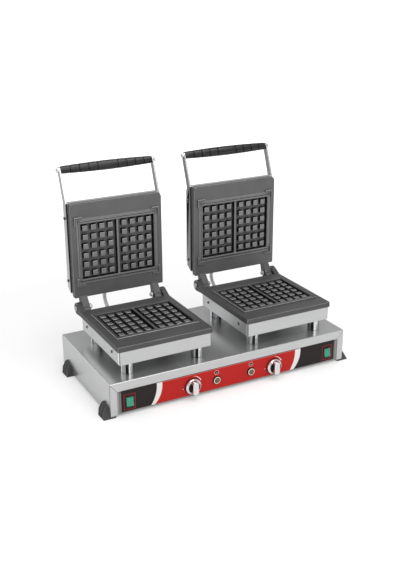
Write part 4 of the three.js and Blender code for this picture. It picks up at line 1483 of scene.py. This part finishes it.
@dataclass
class Controls:
    """One of each control, left and right: switch, dial and lamp."""

    shop: Workshop
    housing_edge: float = 0.7 * MM
    rocker_edge: float = 0.6 * MM
    skirt: float = 6 * MM
    crown: float = 9 * MM
    crown_radius: float = 16 * MM
    reach: float = 19 * MM
    bar_half: tuple[float, float] = (8.5 * MM, 18 * MM)
    bar_top_half: tuple[float, float] = (7.4 * MM, 16.4 * MM)
    bar_end: float = 6 * MM
    bar_edge: float = 1.2 * MM
    stem: float = 3 * MM
    groove: float = 0.8 * MM
    groove_depth: float = 0.7 * MM
    field_inset: float = 0.9 * MM
    field_half: tuple[float, float] = (0.2 * MM, 0.25 * MM)
    ring_lip: float = 1.2 * MM
    ring_seat: float = 3.4 * MM
    barrel: float = 7.4 * MM
    lens_gap: float = 0.25 * MM
    dome_rise: float = 3 * MM
    dome_steps: int = 8

    def build(self) -> None:
        """Make both switches, dials and lamps."""
        self.switches()
        self.dials()
        self.lamps()

    def switches(self) -> None:
        """The black housings and lit rockers."""
        shop, finishes = self.shop, self.shop.finishes
        for name in (side.label for side in Side):
            shop.softened(f"{name}_switch_housing", f"{name}_switch_case", self.housing_edge, finishes.black)
            shop.softened(f"{name}_rocker", f"{name}_switch_rocker", self.rocker_edge, finishes.green, 3)
            shop.paint(f"{name}_thermostat", finishes.fittings)

    def dials(self) -> None:
        """The chromed dials: a spun skirt with its stem, a dark disc that is painted reflection, and a deep finger
        bar.
        """
        low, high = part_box("left_dial_knob")
        radius = (high.x - low.x) / 2
        centre = Vector(((low.x + high.x) / 2, 0.0, (low.z + high.z) / 2))
        back = low.y + self.reach
        face = back - self.skirt
        crown = back - self.crown
        profile = [
            (0.0, high.y),
            (self.stem, high.y),
            (self.stem, back),
            (radius - 0.6 * MM, back),
            (radius, back - 0.6 * MM),
            (radius, face + 0.9 * MM),
            (radius - 0.3 * MM, face + 0.3 * MM),
            (radius - 1.0 * MM, face),
            (self.crown_radius + 1.4 * MM, face - 1.0 * MM),
            (self.crown_radius, crown + 0.5 * MM),
            (self.crown_radius - 0.8 * MM, crown),
            (0.0, crown),
        ]
        skirt = spun("dial_skirt_model", profile, Axis.Y, centre, 72, TURNED)
        bar = self.finger_bar(centre, face, low.y)
        # A dark disc on the crown, as painted reflection.
        rim = self.crown_radius - self.field_inset
        inner, outer = crown + self.field_half[0], crown - self.field_half[1]
        disc = spun(
            "dial_field_model", [(0.0, inner), (rim, inner), (rim, outer), (0.0, outer)], Axis.Y, centre, 48, TURNED
        )
        finishes = self.shop.finishes
        self.shop.stamp_pair(
            "dial_knob",
            (skirt, "dial_skirt", finishes.chrome),
            (bar, "dial_bar", finishes.chrome),
            (disc, "dial_field", finishes.field_metal),
        )

    def finger_bar(self, centre: Vector, face: float, front: float) -> Piece:
        """The dial's upright bar: drafted, rounded, with a pointer groove in its front.

        Args:
            centre: the dial's middle line.
            face: where the bar starts on the skirt.
            front: where it ends in front.

        Returns:
            The model.
        """
        x, _, z = centre
        half_x, half_z = self.bar_half
        top_x, top_z = self.bar_top_half
        bar = block("dial_bar_model", (x - half_x, front, z - half_z), (x + half_x, face, z + half_z))
        with editing(bar):
            pick_faces(bar, lambda middle, normal: normal.y < -0.9)
            bpy.ops.transform.resize(value=(top_x / half_x, 1.0, top_z / half_z), center_override=(x, front, z))
        bevel_edges(bar, lambda a, b: abs(a.y - b.y) > self.skirt, self.bar_end, 5)
        bevel_edges(bar, lambda a, b: max(a.y, b.y) < front + TINY, self.bar_edge, 3)
        start = (x - self.groove, front - MM, z + 2 * MM)
        end = (x + self.groove, front + self.groove_depth, z + top_z + MM)
        combine(bar, block("pointer_tool", start, end))
        shade(bar, 32.0)
        return bar

    def lamps(self) -> None:
        """The bright rings and the amber domes."""
        low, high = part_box("left_lamp_ring")
        radius = (high.x - low.x) / 2
        centre = Vector(((low.x + high.x) / 2, 0.0, (low.z + high.z) / 2))
        lens_low, lens_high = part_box("left_lamp_lens")
        lens_radius = (lens_high.x - lens_low.x) / 2
        seat = low.y + self.ring_seat
        bore = lens_radius + self.lens_gap
        lip = self.ring_lip
        profile = [
            (bore, low.y + 0.6 * MM),
            (bore + 0.5 * MM, low.y),
            (radius - 2.0 * lip, low.y),
            (radius - 0.9 * lip, low.y + 0.4 * MM),
            (radius - 0.2 * lip, low.y + 1.4 * MM),
            (radius, seat - 0.4 * MM),
            (radius, seat),
            (self.barrel, seat),
            (self.barrel, high.y),
            (bore, high.y),
            (bore, low.y + 0.6 * MM),
        ]
        ring = spun("lamp_ring_model", profile, Axis.Y, centre, 56, TURNED)
        steps = [i / self.dome_steps * math.pi / 2 for i in range(self.dome_steps + 1)]
        dome = [(lens_radius * math.sin(a), lens_low.y + self.dome_rise * (1 - math.cos(a))) for a in steps]
        back = [(lens_radius, lens_high.y), (0.0, lens_high.y)]
        lens = spun("lamp_lens_model", [*dome, *back], Axis.Y, centre, 48, TURNED)
        metal = LampRing("lamp_ring_metal", -centre.x, centre.z).build()
        amber = LampLens("lamp_amber", -centre.x, centre.z).build()
        self.shop.stamp_pair("lamp_ring", (ring, "lamp_bezel", metal))
        self.shop.stamp_pair("lamp_lens", (lens, "lamp_dome", amber))


@dataclass
class BakingUnits:
    """What stands on the base at each side: legs, tray, lower casting, hinge bolts and element."""

    shop: Workshop
    tube_wall: float = 2 * MM
    tube_edge: float = 0.5 * MM
    # Painted reflections on the tubes: each dark streak's middle and half width in degrees round the tube, and its
    # darkness.
    streaks: tuple[tuple[float, float, float], ...] = (
        (196.0, 15.0, 1.0),
        (118.0, 7.0, 0.8),
        (286.0, 9.0, 0.75),
        (62.0, 12.0, 0.9),
        (10.0, 10.0, 0.8),
        (330.0, 7.0, 0.6),
    )
    streak_blur: float = 2.0
    leg_turns: tuple[float, ...] = (-8.0, -10.0, 35.0, 30.0, -29.0, -5.0, 30.0, 38.0)
    wall: float = 1.5 * MM
    fold: float = 1.2 * MM
    seam_from_corner: float = 11.5 * MM
    seam_width: float = 0.35 * MM
    seam_start: float = 2 * MM
    tray_roughness: float = 0.34
    screw_proud: float = 3 * MM
    screw_runs: tuple[float, float] = (43.5 * MM, 203.5 * MM)
    screw_drop: float = 14.2 * MM
    head_profile: Profile = ((0.0, 0.0), (4.0, 0.0), (4.0, 1.2), (3.4, 2.1), (2.0, 2.7), (0.0, 2.95))
    washer_profile: Profile = ((3.0, -0.4), (6.2, -0.4), (6.2, 0.5), (5.8, 0.9), (3.0, 0.9), (3.0, -0.4))
    slot: tuple[Point, Point] = ((1.4, -6.0, -0.6), (4.0, 6.0, 0.6))
    slot_turn: float = 0.7
    dimple: tuple[float, float] = (1.9 * MM, 2.4 * MM)
    rim_corner: tuple[float, float] = (108 * MM, 83.95 * MM)
    rim_height: float = 3.6 * MM
    dimple_inset: float = 4.4 * MM
    well_middle: float = 124.5 * MM
    shank: float = 4.0 * MM
    bolt_head: tuple[float, float] = (6.8 * MM, 4.2 * MM)
    nut: tuple[float, float] = (7.2 * MM, 6 * MM)
    nut_edge: float = 0.5 * MM

    def build(self) -> None:
        """Model each piece once at the left unit and stamp it at both."""
        self.legs()
        self.trays()
        self.castings()
        self.bolts()
        for side in Side:
            self.shop.paint(f"{side.label}_lower_element", self.shop.finishes.sheath)

    def legs(self) -> None:
        """Eight polished tubes with painted reflection streaks, each turned its own way."""
        low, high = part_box("left_unit_front_leg_outer")
        radius = (high.y - low.y) / 2
        height = high.z - low.z
        bore = radius - self.tube_wall
        edge = self.tube_edge
        profile = [
            (bore, 0.0),
            (radius - edge, 0.0),
            (radius, edge),
            (radius, height - edge),
            (radius - edge, height),
            (bore, height),
            (bore, 0.0),
        ]
        model = spun("leg_model", profile, Axis.Z, steps=120, smooth=TURNED)
        self.streak(model)
        turns = iter(self.leg_turns)
        for side in Side:
            for place in ("front_leg_outer", "front_leg_inner", "rear_leg_outer", "rear_leg_inner"):
                node = f"{side.label}_unit_{place}"
                middle = middle_of(node)
                turn = Matrix.Rotation(math.radians(next(turns)), 4, "Z")
                matrix = shifted((middle.x, middle.y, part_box(node)[0].z)) @ turn
                self.shop.stamp(model, f"{node}_tube", matrix, self.shop.finishes.tube, node)
        self.shop.retire(model)

    def streak(self, model: Piece) -> None:
        """Store the painted reflections, dark streaks that run up a polished tube, on its vertices.

        Args:
            model: the tube, its middle at the origin.
        """
        blur = self.streak_blur
        layer = model.data.attributes.new("drawn", "FLOAT", "POINT")
        for vertex, value in zip(model.data.vertices, layer.data):
            turn = math.degrees(math.atan2(vertex.co.x, vertex.co.y)) % 360
            for middle, half, depth in self.streaks:
                away = abs((turn - middle + 180) % 360 - 180)
                value.value = max(value.value, depth * min(max((half + blur - away) / (2 * blur), 0.0), 1.0))

    def trays(self) -> None:
        """The folded trays, each with lapped corners, and their slotted screws."""
        low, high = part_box("left_tray")
        low.x += self.screw_proud
        high.x -= self.screw_proud
        tray = block("tray_model", low, high)
        with editing(tray):
            pick_faces(tray, lambda middle, normal: normal.z > 0.9)
            bpy.ops.mesh.delete(type="ONLY_FACE")
        bevel_edges(tray, lambda a, b: True, self.fold, 4)
        solid = tray.modifiers.new("sheet", "SOLIDIFY")
        solid.thickness = self.wall
        solid.offset = -1.0
        apply_modifiers(tray)
        first, last = (low.y + self.seam_from_corner + way * self.seam_width / 2 for way in (-1, 1))
        for x in (low.x, high.x):
            start = (x - MM / 2, first, low.z + self.seam_start)
            combine(tray, block("seam_tool", start, (x + MM / 2, last, high.z + MM)))
        shade(tray)
        steel = TraySteel(
            "tray_steel",
            roughness=self.tray_roughness,
            middle=-(low.x + high.x) / 2,
            half=(high.x - low.x) / 2,
            front=low.y,
            lap=self.seam_from_corner,
        )
        finishes = self.shop.finishes
        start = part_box("left_tray")[0]
        self.shop.stamp_pair("tray", (tray, "tray_pan", steel.build()))
        head, washer = self.slotted_head()
        for side in Side:
            node = f"{side.label}_tray"
            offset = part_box(node)[0] - start
            for word, way, x in (("left", -1.0, low.x), ("right", 1.0, high.x)):
                for row, run in zip(("front", "rear"), self.screw_runs):
                    spot = Vector((x, low.y + run, high.z - self.screw_drop)) + offset
                    place = shifted(spot) @ Matrix.Diagonal((way, 1.0, 1.0, 1.0))
                    name = f"{node}_screw_{row}_{word}"
                    self.shop.stamp(head, name, place, finishes.screw, node)
                    self.shop.stamp(washer, f"{name}_washer", place, finishes.chrome, node)
        self.shop.retire(head, washer)

    def slotted_head(self) -> tuple[Piece, Piece]:
        """A domed screw head with a slot, and its washer, their seat at the origin, facing +X.

        Returns:
            The models of head and washer.
        """
        head = spun("screw_head_model", in_mm(*self.head_profile), Axis.X, steps=32)
        tool = block("slot_tool", *(Vector(corner) * MM for corner in self.slot))
        tool.data.transform(Matrix.Rotation(self.slot_turn, 4, "X"))
        combine(head, tool)
        shade(head, TURNED)
        return head, spun("washer_model", in_mm(*self.washer_profile), Axis.X, steps=32, smooth=TURNED)

    def castings(self) -> None:
        """The lower castings, with softened edges made lighter by wear and painted highlight, and a dimple at each
        corner of the rim.
        """
        plate = refined("left_lower_plate", "lower_casting_model", self.shop.nodes)
        low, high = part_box("left_lower_plate")
        middle = Vector(((low.x + high.x) / 2, low.y + self.well_middle, high.z))
        half_x, half_y = self.rim_corner
        top = max(v.co.z for v in plate.data.vertices if abs(v.co.y - middle.y) < half_y)
        radius, depth = self.dimple
        for across in (-1, 1):
            for along in (-1, 1):
                x = middle.x + across * (half_x - self.dimple_inset)
                y = middle.y + along * (half_y - self.dimple_inset)
                combine(plate, drum("dimple_tool", (x, y, top), radius, depth, Axis.Z, 20))
        skin = CastingSkin(
            outward=UP,
            along=BACK,
            face=top - self.rim_height,
            middle=middle,
            top_wear=0.16,
            floor_soot=0.95,
            front_soot=0.3,
        )
        skin.apply(plate)
        shade(plate, 46.0)
        self.shop.stamp_pair("lower_plate", (plate, "lower_casting", self.shop.finishes.iron))

    def bolts(self) -> None:
        """The hinge bolts: domed head and shank in one, and a hexagon nut inside."""
        low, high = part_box("left_hinge_bolt_outer")
        length = high.x - low.x
        shank = self.shank
        head, thick = self.bolt_head
        profile = [
            (0.0, 0.0),
            (head * 0.45, 0.25 * MM),
            (head * 0.78, 1.1 * MM),
            (head * 0.96, 2.4 * MM),
            (head, 3.2 * MM),
            (head, thick),
            (shank, thick),
            (shank, length - 0.6 * MM),
            (shank - 0.6 * MM, length),
            (0.0, length),
        ]
        bolt = spun("bolt_model", profile, Axis.X, steps=40, smooth=TURNED)
        radius, depth = self.nut
        nut = drum("nut_model", (length - depth, 0.0, 0.0), radius, depth, Axis.X, 6)
        soften(nut, self.nut_edge)
        shade(nut)
        for side in Side:
            for end in ("outer", "inner"):
                node = f"{side.label}_hinge_bolt_{end}"
                start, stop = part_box(node)
                middle = middle_of(node)
                leftward = middle.x < middle_of(f"{side.label}_lower_plate").x
                spot = (start.x if leftward else stop.x, middle.y, middle.z)
                place = shifted(spot) @ Matrix.Diagonal((1.0 if leftward else -1.0, 1.0, 1.0, 1.0))
                self.shop.stamp(bolt, f"{node}_head", place, self.shop.finishes.zinc, node)
                self.shop.stamp(nut, f"{node}_nut", place, self.shop.finishes.zinc, node)
        self.shop.retire(bolt, nut)


@dataclass
class Leads:
    """The ribbed metal leads from the base to the lids, and a ferrule at each of their ends."""

    shop: Workshop
    across: tuple[float, float] = (-191.8 * MM, 126.8 * MM)
    route: tuple[tuple[float, float], ...] = (
        (132.95 * MM, 87.3 * MM),
        (132.95 * MM, 98.0 * MM),
        (132.95 * MM, 107.0 * MM),
        (177.95 * MM, 152.0 * MM),
        (168.859 * MM, 187.530 * MM),
        (163.590 * MM, 194.827 * MM),
        (157.326 * MM, 203.501 * MM),
    )
    radius: float = 5 * MM
    rib: float = 2.4 * MM
    rib_depth: float = 0.55 * MM
    rib_shape: tuple[float, float] = (0.3, 0.7)
    steps: int = 12
    sides: int = 20
    collar_gap: float = 0.6 * MM
    collar_seat: float = 0.3 * MM
    collar_ends: tuple[float, float] = (-4.5 * MM, 11 * MM)
    collar_outline: Profile = (
        (8.0, -4.5),
        (8.0, 0.3),
        (9.6, 0.3),
        (10.0, 0.7),
        (10.0, 2.7),
        (9.4, 3.3),
        (7.9, 3.4),
        (7.5, 3.9),
        (7.5, 10.4),
        (6.9, 11.0),
    )

    def build(self) -> None:
        """Lay both leads and set a ferrule at each end of each."""
        for side, across in zip(Side, self.across):
            self.hose(side, across)
            self.ferrules(side, across)

    def centre_line(self, across: float) -> list[Vector]:
        """The lead's middle line, a centripetal curve through its route.

        Args:
            across: the lead's place in X.

        Returns:
            The points of the line.
        """
        knots = [Vector((across, y, z)) for y, z in self.route]
        full = [knots[0] * 2 - knots[1], *knots, knots[-1] * 2 - knots[-2]]
        gaps = [(after - before).length ** 0.5 for before, after in zip(full, full[1:])]
        points = []
        for i in range(1, len(full) - 2):
            leave = self.tangent(full[i - 1 : i + 2], gaps[i - 1 : i + 1]) * gaps[i] / 3
            arrive = self.tangent(full[i : i + 3], gaps[i : i + 2]) * gaps[i] / 3
            piece = interpolate_bezier(full[i], full[i] + leave, full[i + 1] - arrive, full[i + 1], self.steps)
            points.extend(piece[:-1])
        return [*points, knots[-1]]

    @staticmethod
    def tangent(knots: Sequence[Vector], gaps: Sequence[float]) -> Vector:
        """The curve's direction at the middle one of three knots.

        Args:
            knots: the three knots.
            gaps: the curve's steps between them.

        Returns:
            The tangent for one unit of step.
        """
        before, middle, after = knots
        first, second = gaps
        return (middle - before) / first - (after - before) / (first + second) + (after - middle) / second

    def hose(self, side: Side, across: float) -> None:
        """One ribbed hose, bent along its route.

        Args:
            side: which unit.
            across: the lead's place in X.
        """
        line = self.centre_line(across)
        length = sum((after - before).length for before, after in zip(line, line[1:]))
        count = round(length / self.rib)
        pitch = length / count
        valley = self.radius - self.rib_depth
        profile = [(0.0, 0.0)]
        for i in range(count):
            profile.append((valley, i * pitch))
            profile.extend((self.radius, (i + share) * pitch) for share in self.rib_shape)
        profile.extend([(valley, length), (0.0, length)])
        hose = spun(f"{side.label}_lead_hose", profile, Axis.Z, steps=self.sides)
        track = self.track(line)
        bend = hose.modifiers.new("bend", "CURVE")
        bend.object = track
        bend.deform_axis = "POS_Z"
        apply_modifiers(hose)
        bpy.data.objects.remove(track)
        shade(hose, 50.0)
        node = f"{side.label}_flexible_lead"
        hose.data.materials.clear()
        hose.data.materials.append(self.shop.finishes.hose)
        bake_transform(hose)
        self.shop.slot_of(node)
        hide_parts(node)
        log.info("%s: %d faces, %.1f mm long", hose.name, len(hose.data.polygons), length / MM)

    @staticmethod
    def track(line: Sequence[Vector]) -> Piece:
        """A curve object along a line of points, for the hose to bend along.

        Args:
            line: the points.

        Returns:
            The curve's object.
        """
        data = bpy.data.curves.new("track", "CURVE")
        data.dimensions = "3D"
        data.twist_mode = "MINIMUM"
        spline = data.splines.new("POLY")
        spline.points.add(len(line) - 1)
        for point, place in zip(spline.points, line):
            point.co = (*place, 1.0)
        track = bpy.data.objects.new("track", data)
        bpy.context.scene.collection.objects.link(track)
        return track

    def ferrules(self, side: Side, across: float) -> None:
        """The two ferrules of one lead, the upper one square to the cover's slope.

        Args:
            side: which unit.
            across: the lead's place in X.
        """
        bore = self.radius + self.collar_gap
        first, last = self.collar_ends
        profile = [(bore, first), *in_mm(*self.collar_outline), (bore, last), (bore, first)]
        model = spun("ferrule_model", profile, Axis.Z, steps=40, smooth=32.0)
        before, tip = (Vector((across, *point)) for point in self.route[-2:])
        outwards = (before - tip).normalized()
        turn = UP.rotation_difference(outwards).to_matrix().to_4x4()
        lower = shifted((across, self.route[0][0], self.route[0][1] - self.collar_seat))
        upper = shifted(tip - outwards * self.collar_seat) @ turn
        chrome = self.shop.finishes.chrome
        self.shop.stamp(model, f"{side.label}_ferrule_low", lower, chrome, f"{side.label}_base_ferrule")
        self.shop.stamp(model, f"{side.label}_ferrule_high", upper, chrome, f"{side.label}_lid_ferrule")
        self.shop.retire(model)


@dataclass
class Lids:
    """Both lids: upper casting, cover, arms, grip and its rod."""

    shop: Workshop
    well_middle: float = 306.8 * MM
    locator_height: float = 5 * MM
    locator_reach: float = 90 * MM
    fold: float = 1.2 * MM
    fold_reach: float = 0.05 * MM
    arm_edge: float = 0.7 * MM
    arm_middle: float = 154.05 * MM
    arm_half: float = 6 * MM
    arm_bend: float = 428.3 * MM
    arm_widening: float = 7.6 * MM
    arm_screws: tuple[float, float] = (226 * MM, 389 * MM)
    # How dark the arms' faces are painted, as painted reflections: outer sides, inner sides, fronts and the rest.
    arm_tones: tuple[tuple[str, float], ...] = (("outer", 0.3), ("inner", 0.7))
    inward_tone: float = 0.6
    front_tone: float = 0.95
    plain_tone: float = 0.5
    mid_radius: float = 12.2 * MM
    end_radius: float = 9.2 * MM
    grip_bore: float = 4.3 * MM
    grip_chamfer: float = 0.8 * MM
    middle_segment: float = 54 * MM
    short_segments: int = 4
    groove_half: float = 1.4 * MM
    groove_floor: float = 0.63 * MM
    groove_depth: float = 2.6 * MM
    crown: float = 0.35 * MM
    rings: int = 6
    rod: float = 4 * MM
    nut: tuple[float, float] = (7 * MM, 6 * MM)
    nut_edge: float = 0.4 * MM
    nut_dome: tuple[tuple[float, float], ...] = ((1.0, 0.62), (0.93, 0.42), (0.78, 0.24), (0.52, 0.09), (0.25, 0.02))

    def build(self) -> None:
        """Make and dress every piece of the lids but the leads' ferrules."""
        self.castings()
        self.covers()
        self.arms()
        self.grips()
        self.rods()
        for side in Side:
            self.shop.paint(f"{side.label}_upper_element", self.shop.finishes.sheath)

    def castings(self) -> None:
        """The upper castings, with softened edges made lighter by wear and painted highlight."""
        plate = refined("left_upper_plate", "upper_casting_model", self.shop.nodes)
        zone = [v.co.y for v in plate.data.vertices if abs(v.co.z - self.well_middle) < self.locator_reach]
        face = min(zone) + self.locator_height
        middle = Vector((middle_of("left_upper_plate").x, face, self.well_middle))
        skin = CastingSkin(
            outward=-BACK,
            along=UP,
            face=-face,
            middle=middle,
            top_wear=0.34,
            floor_soot=0.3,
            side_soot=0.3,
            hinge_way=-1.0,
        )
        skin.apply(plate)
        shade(plate, 46.0)
        self.shop.stamp_pair("upper_plate", (plate, "upper_casting", self.shop.finishes.lid_iron))

    def covers(self) -> None:
        """The folded covers, with rounded outer folds."""
        for side in Side:
            node = f"{side.label}_upper_cover"
            low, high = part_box(node)
            cover = refined(node, f"{side.label}_cover_pan", self.shop.nodes)

            def on_fold(a: Vector, b: Vector) -> bool:
                """Whether an edge is one of the outer folds."""
                at_side = all(min(p.x - low.x, high.x - p.x) < self.fold_reach for p in (a, b))
                return at_side and max(a.y, b.y) > low.y + MM

            bevel_edges(cover, on_fold, self.fold, 4)
            shade(cover)
            self.shop.finish(cover, self.shop.finishes.cover, node)

    def arms(self) -> None:
        """The flat handle arms with their screws, their front edge further forward than the node's, their faces
        painted darker or lighter as reflections.
        """
        for side in Side:
            for end, reflection_tone in self.arm_tones:
                node = f"{side.label}_handle_arm_{end}"
                arm = refined(node, f"{node}_bar", self.shop.nodes)
                self.widen(arm)
                soften(arm, self.arm_edge, 2, 30.0)
                shade(arm)
                self.mirrored_tones(arm, side.value if end == "outer" else -side.value, reflection_tone)
                self.shop.finish(arm, self.shop.finishes.bar, node)

    def widen(self, arm: Piece) -> None:
        """Move the front half of an arm forward up to its bend, but for its screws.

        Args:
            arm: the bar.
        """
        for vertex in arm.data.vertices:
            near_screw = any(abs(vertex.co.z - height) < self.arm_half for height in self.arm_screws)
            if not near_screw and vertex.co.z < self.arm_bend + self.arm_half + MM:
                share = (self.arm_middle - vertex.co.y) / self.arm_half
                vertex.co.y -= self.arm_widening * min(max(share, 0.0), 1.0)

    def mirrored_tones(self, arm: Piece, outward: int, outer_reflection_tone: float) -> None:
        """Store how dark each face of an arm is painted, as painted reflection.

        Args:
            arm: the bar.
            outward: which way along X its outer side looks.
            outer_reflection_tone: how dark that side is.
        """
        # Painted reflections: each face's darkness by which way it faces.
        layer = arm.data.attributes.new("drawn", "FLOAT", "FACE")
        for face, value in zip(arm.data.polygons, layer.data):
            away = face.normal.x * outward
            value.value = self.plain_tone
            if abs(away) > 0.7:
                value.value = outer_reflection_tone if away > 0 else self.inward_tone
            elif face.normal.y < -0.5:
                value.value = 0.0 if face.center.z > self.arm_bend else self.front_tone

    def segment(self, start: float, stop: float, half: float) -> list[tuple[float, float]]:
        """The outline of one slightly barrel-shaped segment of a grip's right half, and of the groove after it.

        Args:
            start: where it starts, from the grip's middle.
            stop: where the next groove's middle or the grip's end is.
            half: half the grip's length.

        Returns:
            Pairs of radius and place.
        """

        def swell(x: float) -> float:
            """The grip's radius at a distance from its middle, without grooves."""
            return self.mid_radius - (self.mid_radius - self.end_radius) * (x / half) ** 2

        last = stop > half - TINY
        first_x = start + (self.groove_half if start else 0.0)
        last_x = stop - (0.0 if last else self.groove_half)
        outline = []
        for i in range(self.rings + 1):
            x = first_x + (last_x - first_x) * i / self.rings
            reach = abs((x - (start + stop) / 2) / ((stop - start) / 2)) if start else x / stop
            outline.append((swell(x) - self.crown * reach**4, x))
        if last:
            outline[-1] = (self.end_radius - self.grip_chamfer, half)
            return [*outline, (self.grip_bore, half)]
        floor = swell(stop) - self.groove_depth
        return [*outline, (floor, stop - self.groove_floor), (floor, stop + self.groove_floor)]

    def grips(self) -> None:
        """The black grips: fat in the middle, with ringed segments."""
        low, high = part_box("left_handle_grip")
        half = (high.x - low.x) / 2
        short = (half - self.middle_segment / 2) / self.short_segments
        bounds = [0.0, *(self.middle_segment / 2 + i * short for i in range(self.short_segments + 1))]
        right = [point for start, stop in zip(bounds, bounds[1:]) for point in self.segment(start, stop, half)]
        left = [(radius, -x) for radius, x in reversed(right)]
        grip = spun("grip_model", [*left, *right[1:], left[0]], Axis.X, (low + high) / 2, 48, 38.0)
        self.shop.stamp_pair("handle_grip", (grip, "grip_moulding", self.shop.finishes.bakelite))

    def rods(self) -> None:
        """The rods through the grips, with a domed nut at each end."""
        low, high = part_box("left_handle_rod")
        end = (high.x - low.x) / 2
        nut, length = self.nut
        seat = end - length
        dome = [(nut * wide, end - length * share) for wide, share in self.nut_dome]
        half = [(self.rod, seat), (nut - self.nut_edge, seat), (nut, seat + self.nut_edge), *dome, (0.0, end)]
        profile = [(radius, -x) for radius, x in reversed(half)] + half
        rod = spun("rod_model", profile, Axis.X, (low + high) / 2, 40, 36.0)
        self.shop.stamp_pair("handle_rod", (rod, "grip_rod", self.shop.finishes.chrome))


# Studio


@dataclass
class Studio:
    """The camera, the pale floor, the sky and the soft lamps."""

    eye: Point = (-0.95544, -1.81420, 0.9981)
    yaw: float = 27.72
    pitch: float = 20.98
    roll: float = -0.28
    lens: float = 54.87
    sensor: float = 36.0
    sight: float = 200.0
    floor_size: float = 120.0
    floor_colour: Colour = (0.86, 0.86, 0.86)
    lift: float = 0.22
    glow: float = 1.5
    white_from: float = 0.7
    white_at: float = 1.6
    sky: float = 0.62
    dusk: float = 0.46
    dusk_behind: tuple[float, float] = (0.35, 0.9)
    dusk_below: tuple[float, float] = (0.55, 0.5)
    glint: float = 1.5
    glint_way: Point = (-0.36, 0.83, 0.43)
    glint_within: tuple[float, float] = (0.93, 0.06)
    glint_above: tuple[float, float] = (0.25, 0.1)
    lamps: tuple[tuple[str, Point, Point, float, float], ...] = (
        ("top_softbox", (0.15, -0.5, 2.4), (0.0, 0.0, 0.1), 2.2, 32.0),
        ("front_softbox", (0.3, -2.6, 1.5), (0.0, 0.0, 0.2), 1.6, 11.5),
    )

    def build(self) -> None:
        """Set up everything round the machine but the camera."""
        self.floor()
        self.world()
        for lamp in self.lamps:
            self.lamp(*lamp)

    def camera(self) -> None:
        """The camera that matches the photograph's view."""
        yaw, pitch, roll = (math.radians(angle) for angle in (self.yaw, self.pitch, self.roll))
        forward = Vector((math.sin(yaw) * math.cos(pitch), math.cos(yaw) * math.cos(pitch), -math.sin(pitch)))
        right = Vector((math.cos(yaw), -math.sin(yaw), 0.0))
        up = right.cross(forward)
        rolled_right = right * math.cos(roll) + up * math.sin(roll)
        rolled_up = up * math.cos(roll) - right * math.sin(roll)
        data = bpy.data.cameras.new("photo_camera")
        data.lens = self.lens
        data.sensor_width = self.sensor
        data.sensor_fit = "AUTO"
        data.clip_end = self.sight
        camera = bpy.data.objects.new("photo_camera", data)
        turn = Matrix((rolled_right, rolled_up, -forward)).transposed().to_4x4()
        camera.matrix_world = shifted(self.eye) @ turn
        bpy.context.scene.collection.objects.link(camera)
        bpy.context.scene.camera = camera
        bpy.context.scene.view_settings.view_transform = "Standard"

    def floor(self) -> None:
        """A pale floor that the camera sees a little lighter than it is lit."""
        bpy.ops.object.select_all(action="DESELECT")
        bpy.ops.mesh.primitive_plane_add(size=self.floor_size)
        floor = bpy.context.active_object
        floor.name = "studio_floor"
        material = bpy.data.materials.new("studio_floor")
        material.use_nodes = True
        sheet = NodeSheet(material.node_tree)
        paper = sheet.add("ShaderNodeBsdfDiffuse", sockets={"Color": (*self.floor_colour, 1.0)})
        glow = sheet.add("ShaderNodeEmission", sockets={"Strength": self.glow})
        seen = sheet.add("ShaderNodeLightPath", output="Is Camera Ray")
        away = sheet.add("ShaderNodeVectorMath", {"operation": "LENGTH"}, {0: sheet.place()}, output="Value")
        far = away.above((self.white_from + self.white_at) / 2, self.white_at - self.white_from)
        share = far * (1 - self.lift) + self.lift
        mixed = sheet.add("ShaderNodeMixShader", sockets={0: seen * share, 1: paper, 2: glow})
        sheet.add("ShaderNodeOutputMaterial", sockets={"Surface": mixed})
        floor.data.materials.append(material)

    def world(self) -> None:
        """A sky that is plain white to the camera; the metal mirrors it darker behind the machine, with a glint."""
        world = bpy.data.worlds.new("studio_sky")
        world.use_nodes = True
        sheet = NodeSheet(world.node_tree)
        direction = sheet.add("ShaderNodeTexCoord", output="Generated")
        x, y, z = sheet.parts(direction)
        yaw = math.radians(self.yaw)
        behind = x * math.sin(yaw) + y * math.cos(yaw)
        low = behind.above(*self.dusk_behind) * z.below(*self.dusk_below)
        toward = x * self.glint_way[0] + y * self.glint_way[1] + z * self.glint_way[2]
        spark = toward.above(*self.glint_within) * z.above(*self.glint_above)
        colour = sheet.blend(low, (self.sky,) * 3, (self.dusk,) * 3)
        colour = sheet.blend(spark, colour, (self.glint,) * 3)
        seen = sheet.add("ShaderNodeLightPath", output="Is Camera Ray")
        colour = sheet.blend(seen, colour, (1.0, 1.0, 1.0))
        sky = sheet.add("ShaderNodeBackground", sockets={"Color": colour, "Strength": 1.0})
        sheet.add("ShaderNodeOutputWorld", sockets={"Surface": sky})
        bpy.context.scene.world = world

    @staticmethod
    def lamp(name: str, place: Point, target: Point, size: float, power: float) -> None:
        """A square soft lamp that faces a point.

        Args:
            name: the lamp's name.
            place: where it hangs.
            target: what it faces.
            size: the length of its side.
            power: its power in watts.
        """
        data = bpy.data.lights.new(name, "AREA")
        data.size = size
        data.energy = power
        lamp = bpy.data.objects.new(name, data)
        lamp.location = place
        lamp.rotation_euler = (Vector(target) - Vector(place)).to_track_quat("-Z", "Y").to_euler()
        bpy.context.scene.collection.objects.link(lamp)


def main() -> None:
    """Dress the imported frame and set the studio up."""
    logging.basicConfig(level=logging.INFO, format="%(name)s: %(message)s")
    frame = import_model()
    studio = Studio()
    studio.camera()
    shop = Workshop(frame, Finishes())
    Leads(shop).build()
    Cabinet(shop).build()
    Controls(shop).build()
    BakingUnits(shop).build()
    Lids(shop).build()
    studio.build()


if __name__ == "__main__":
    main()
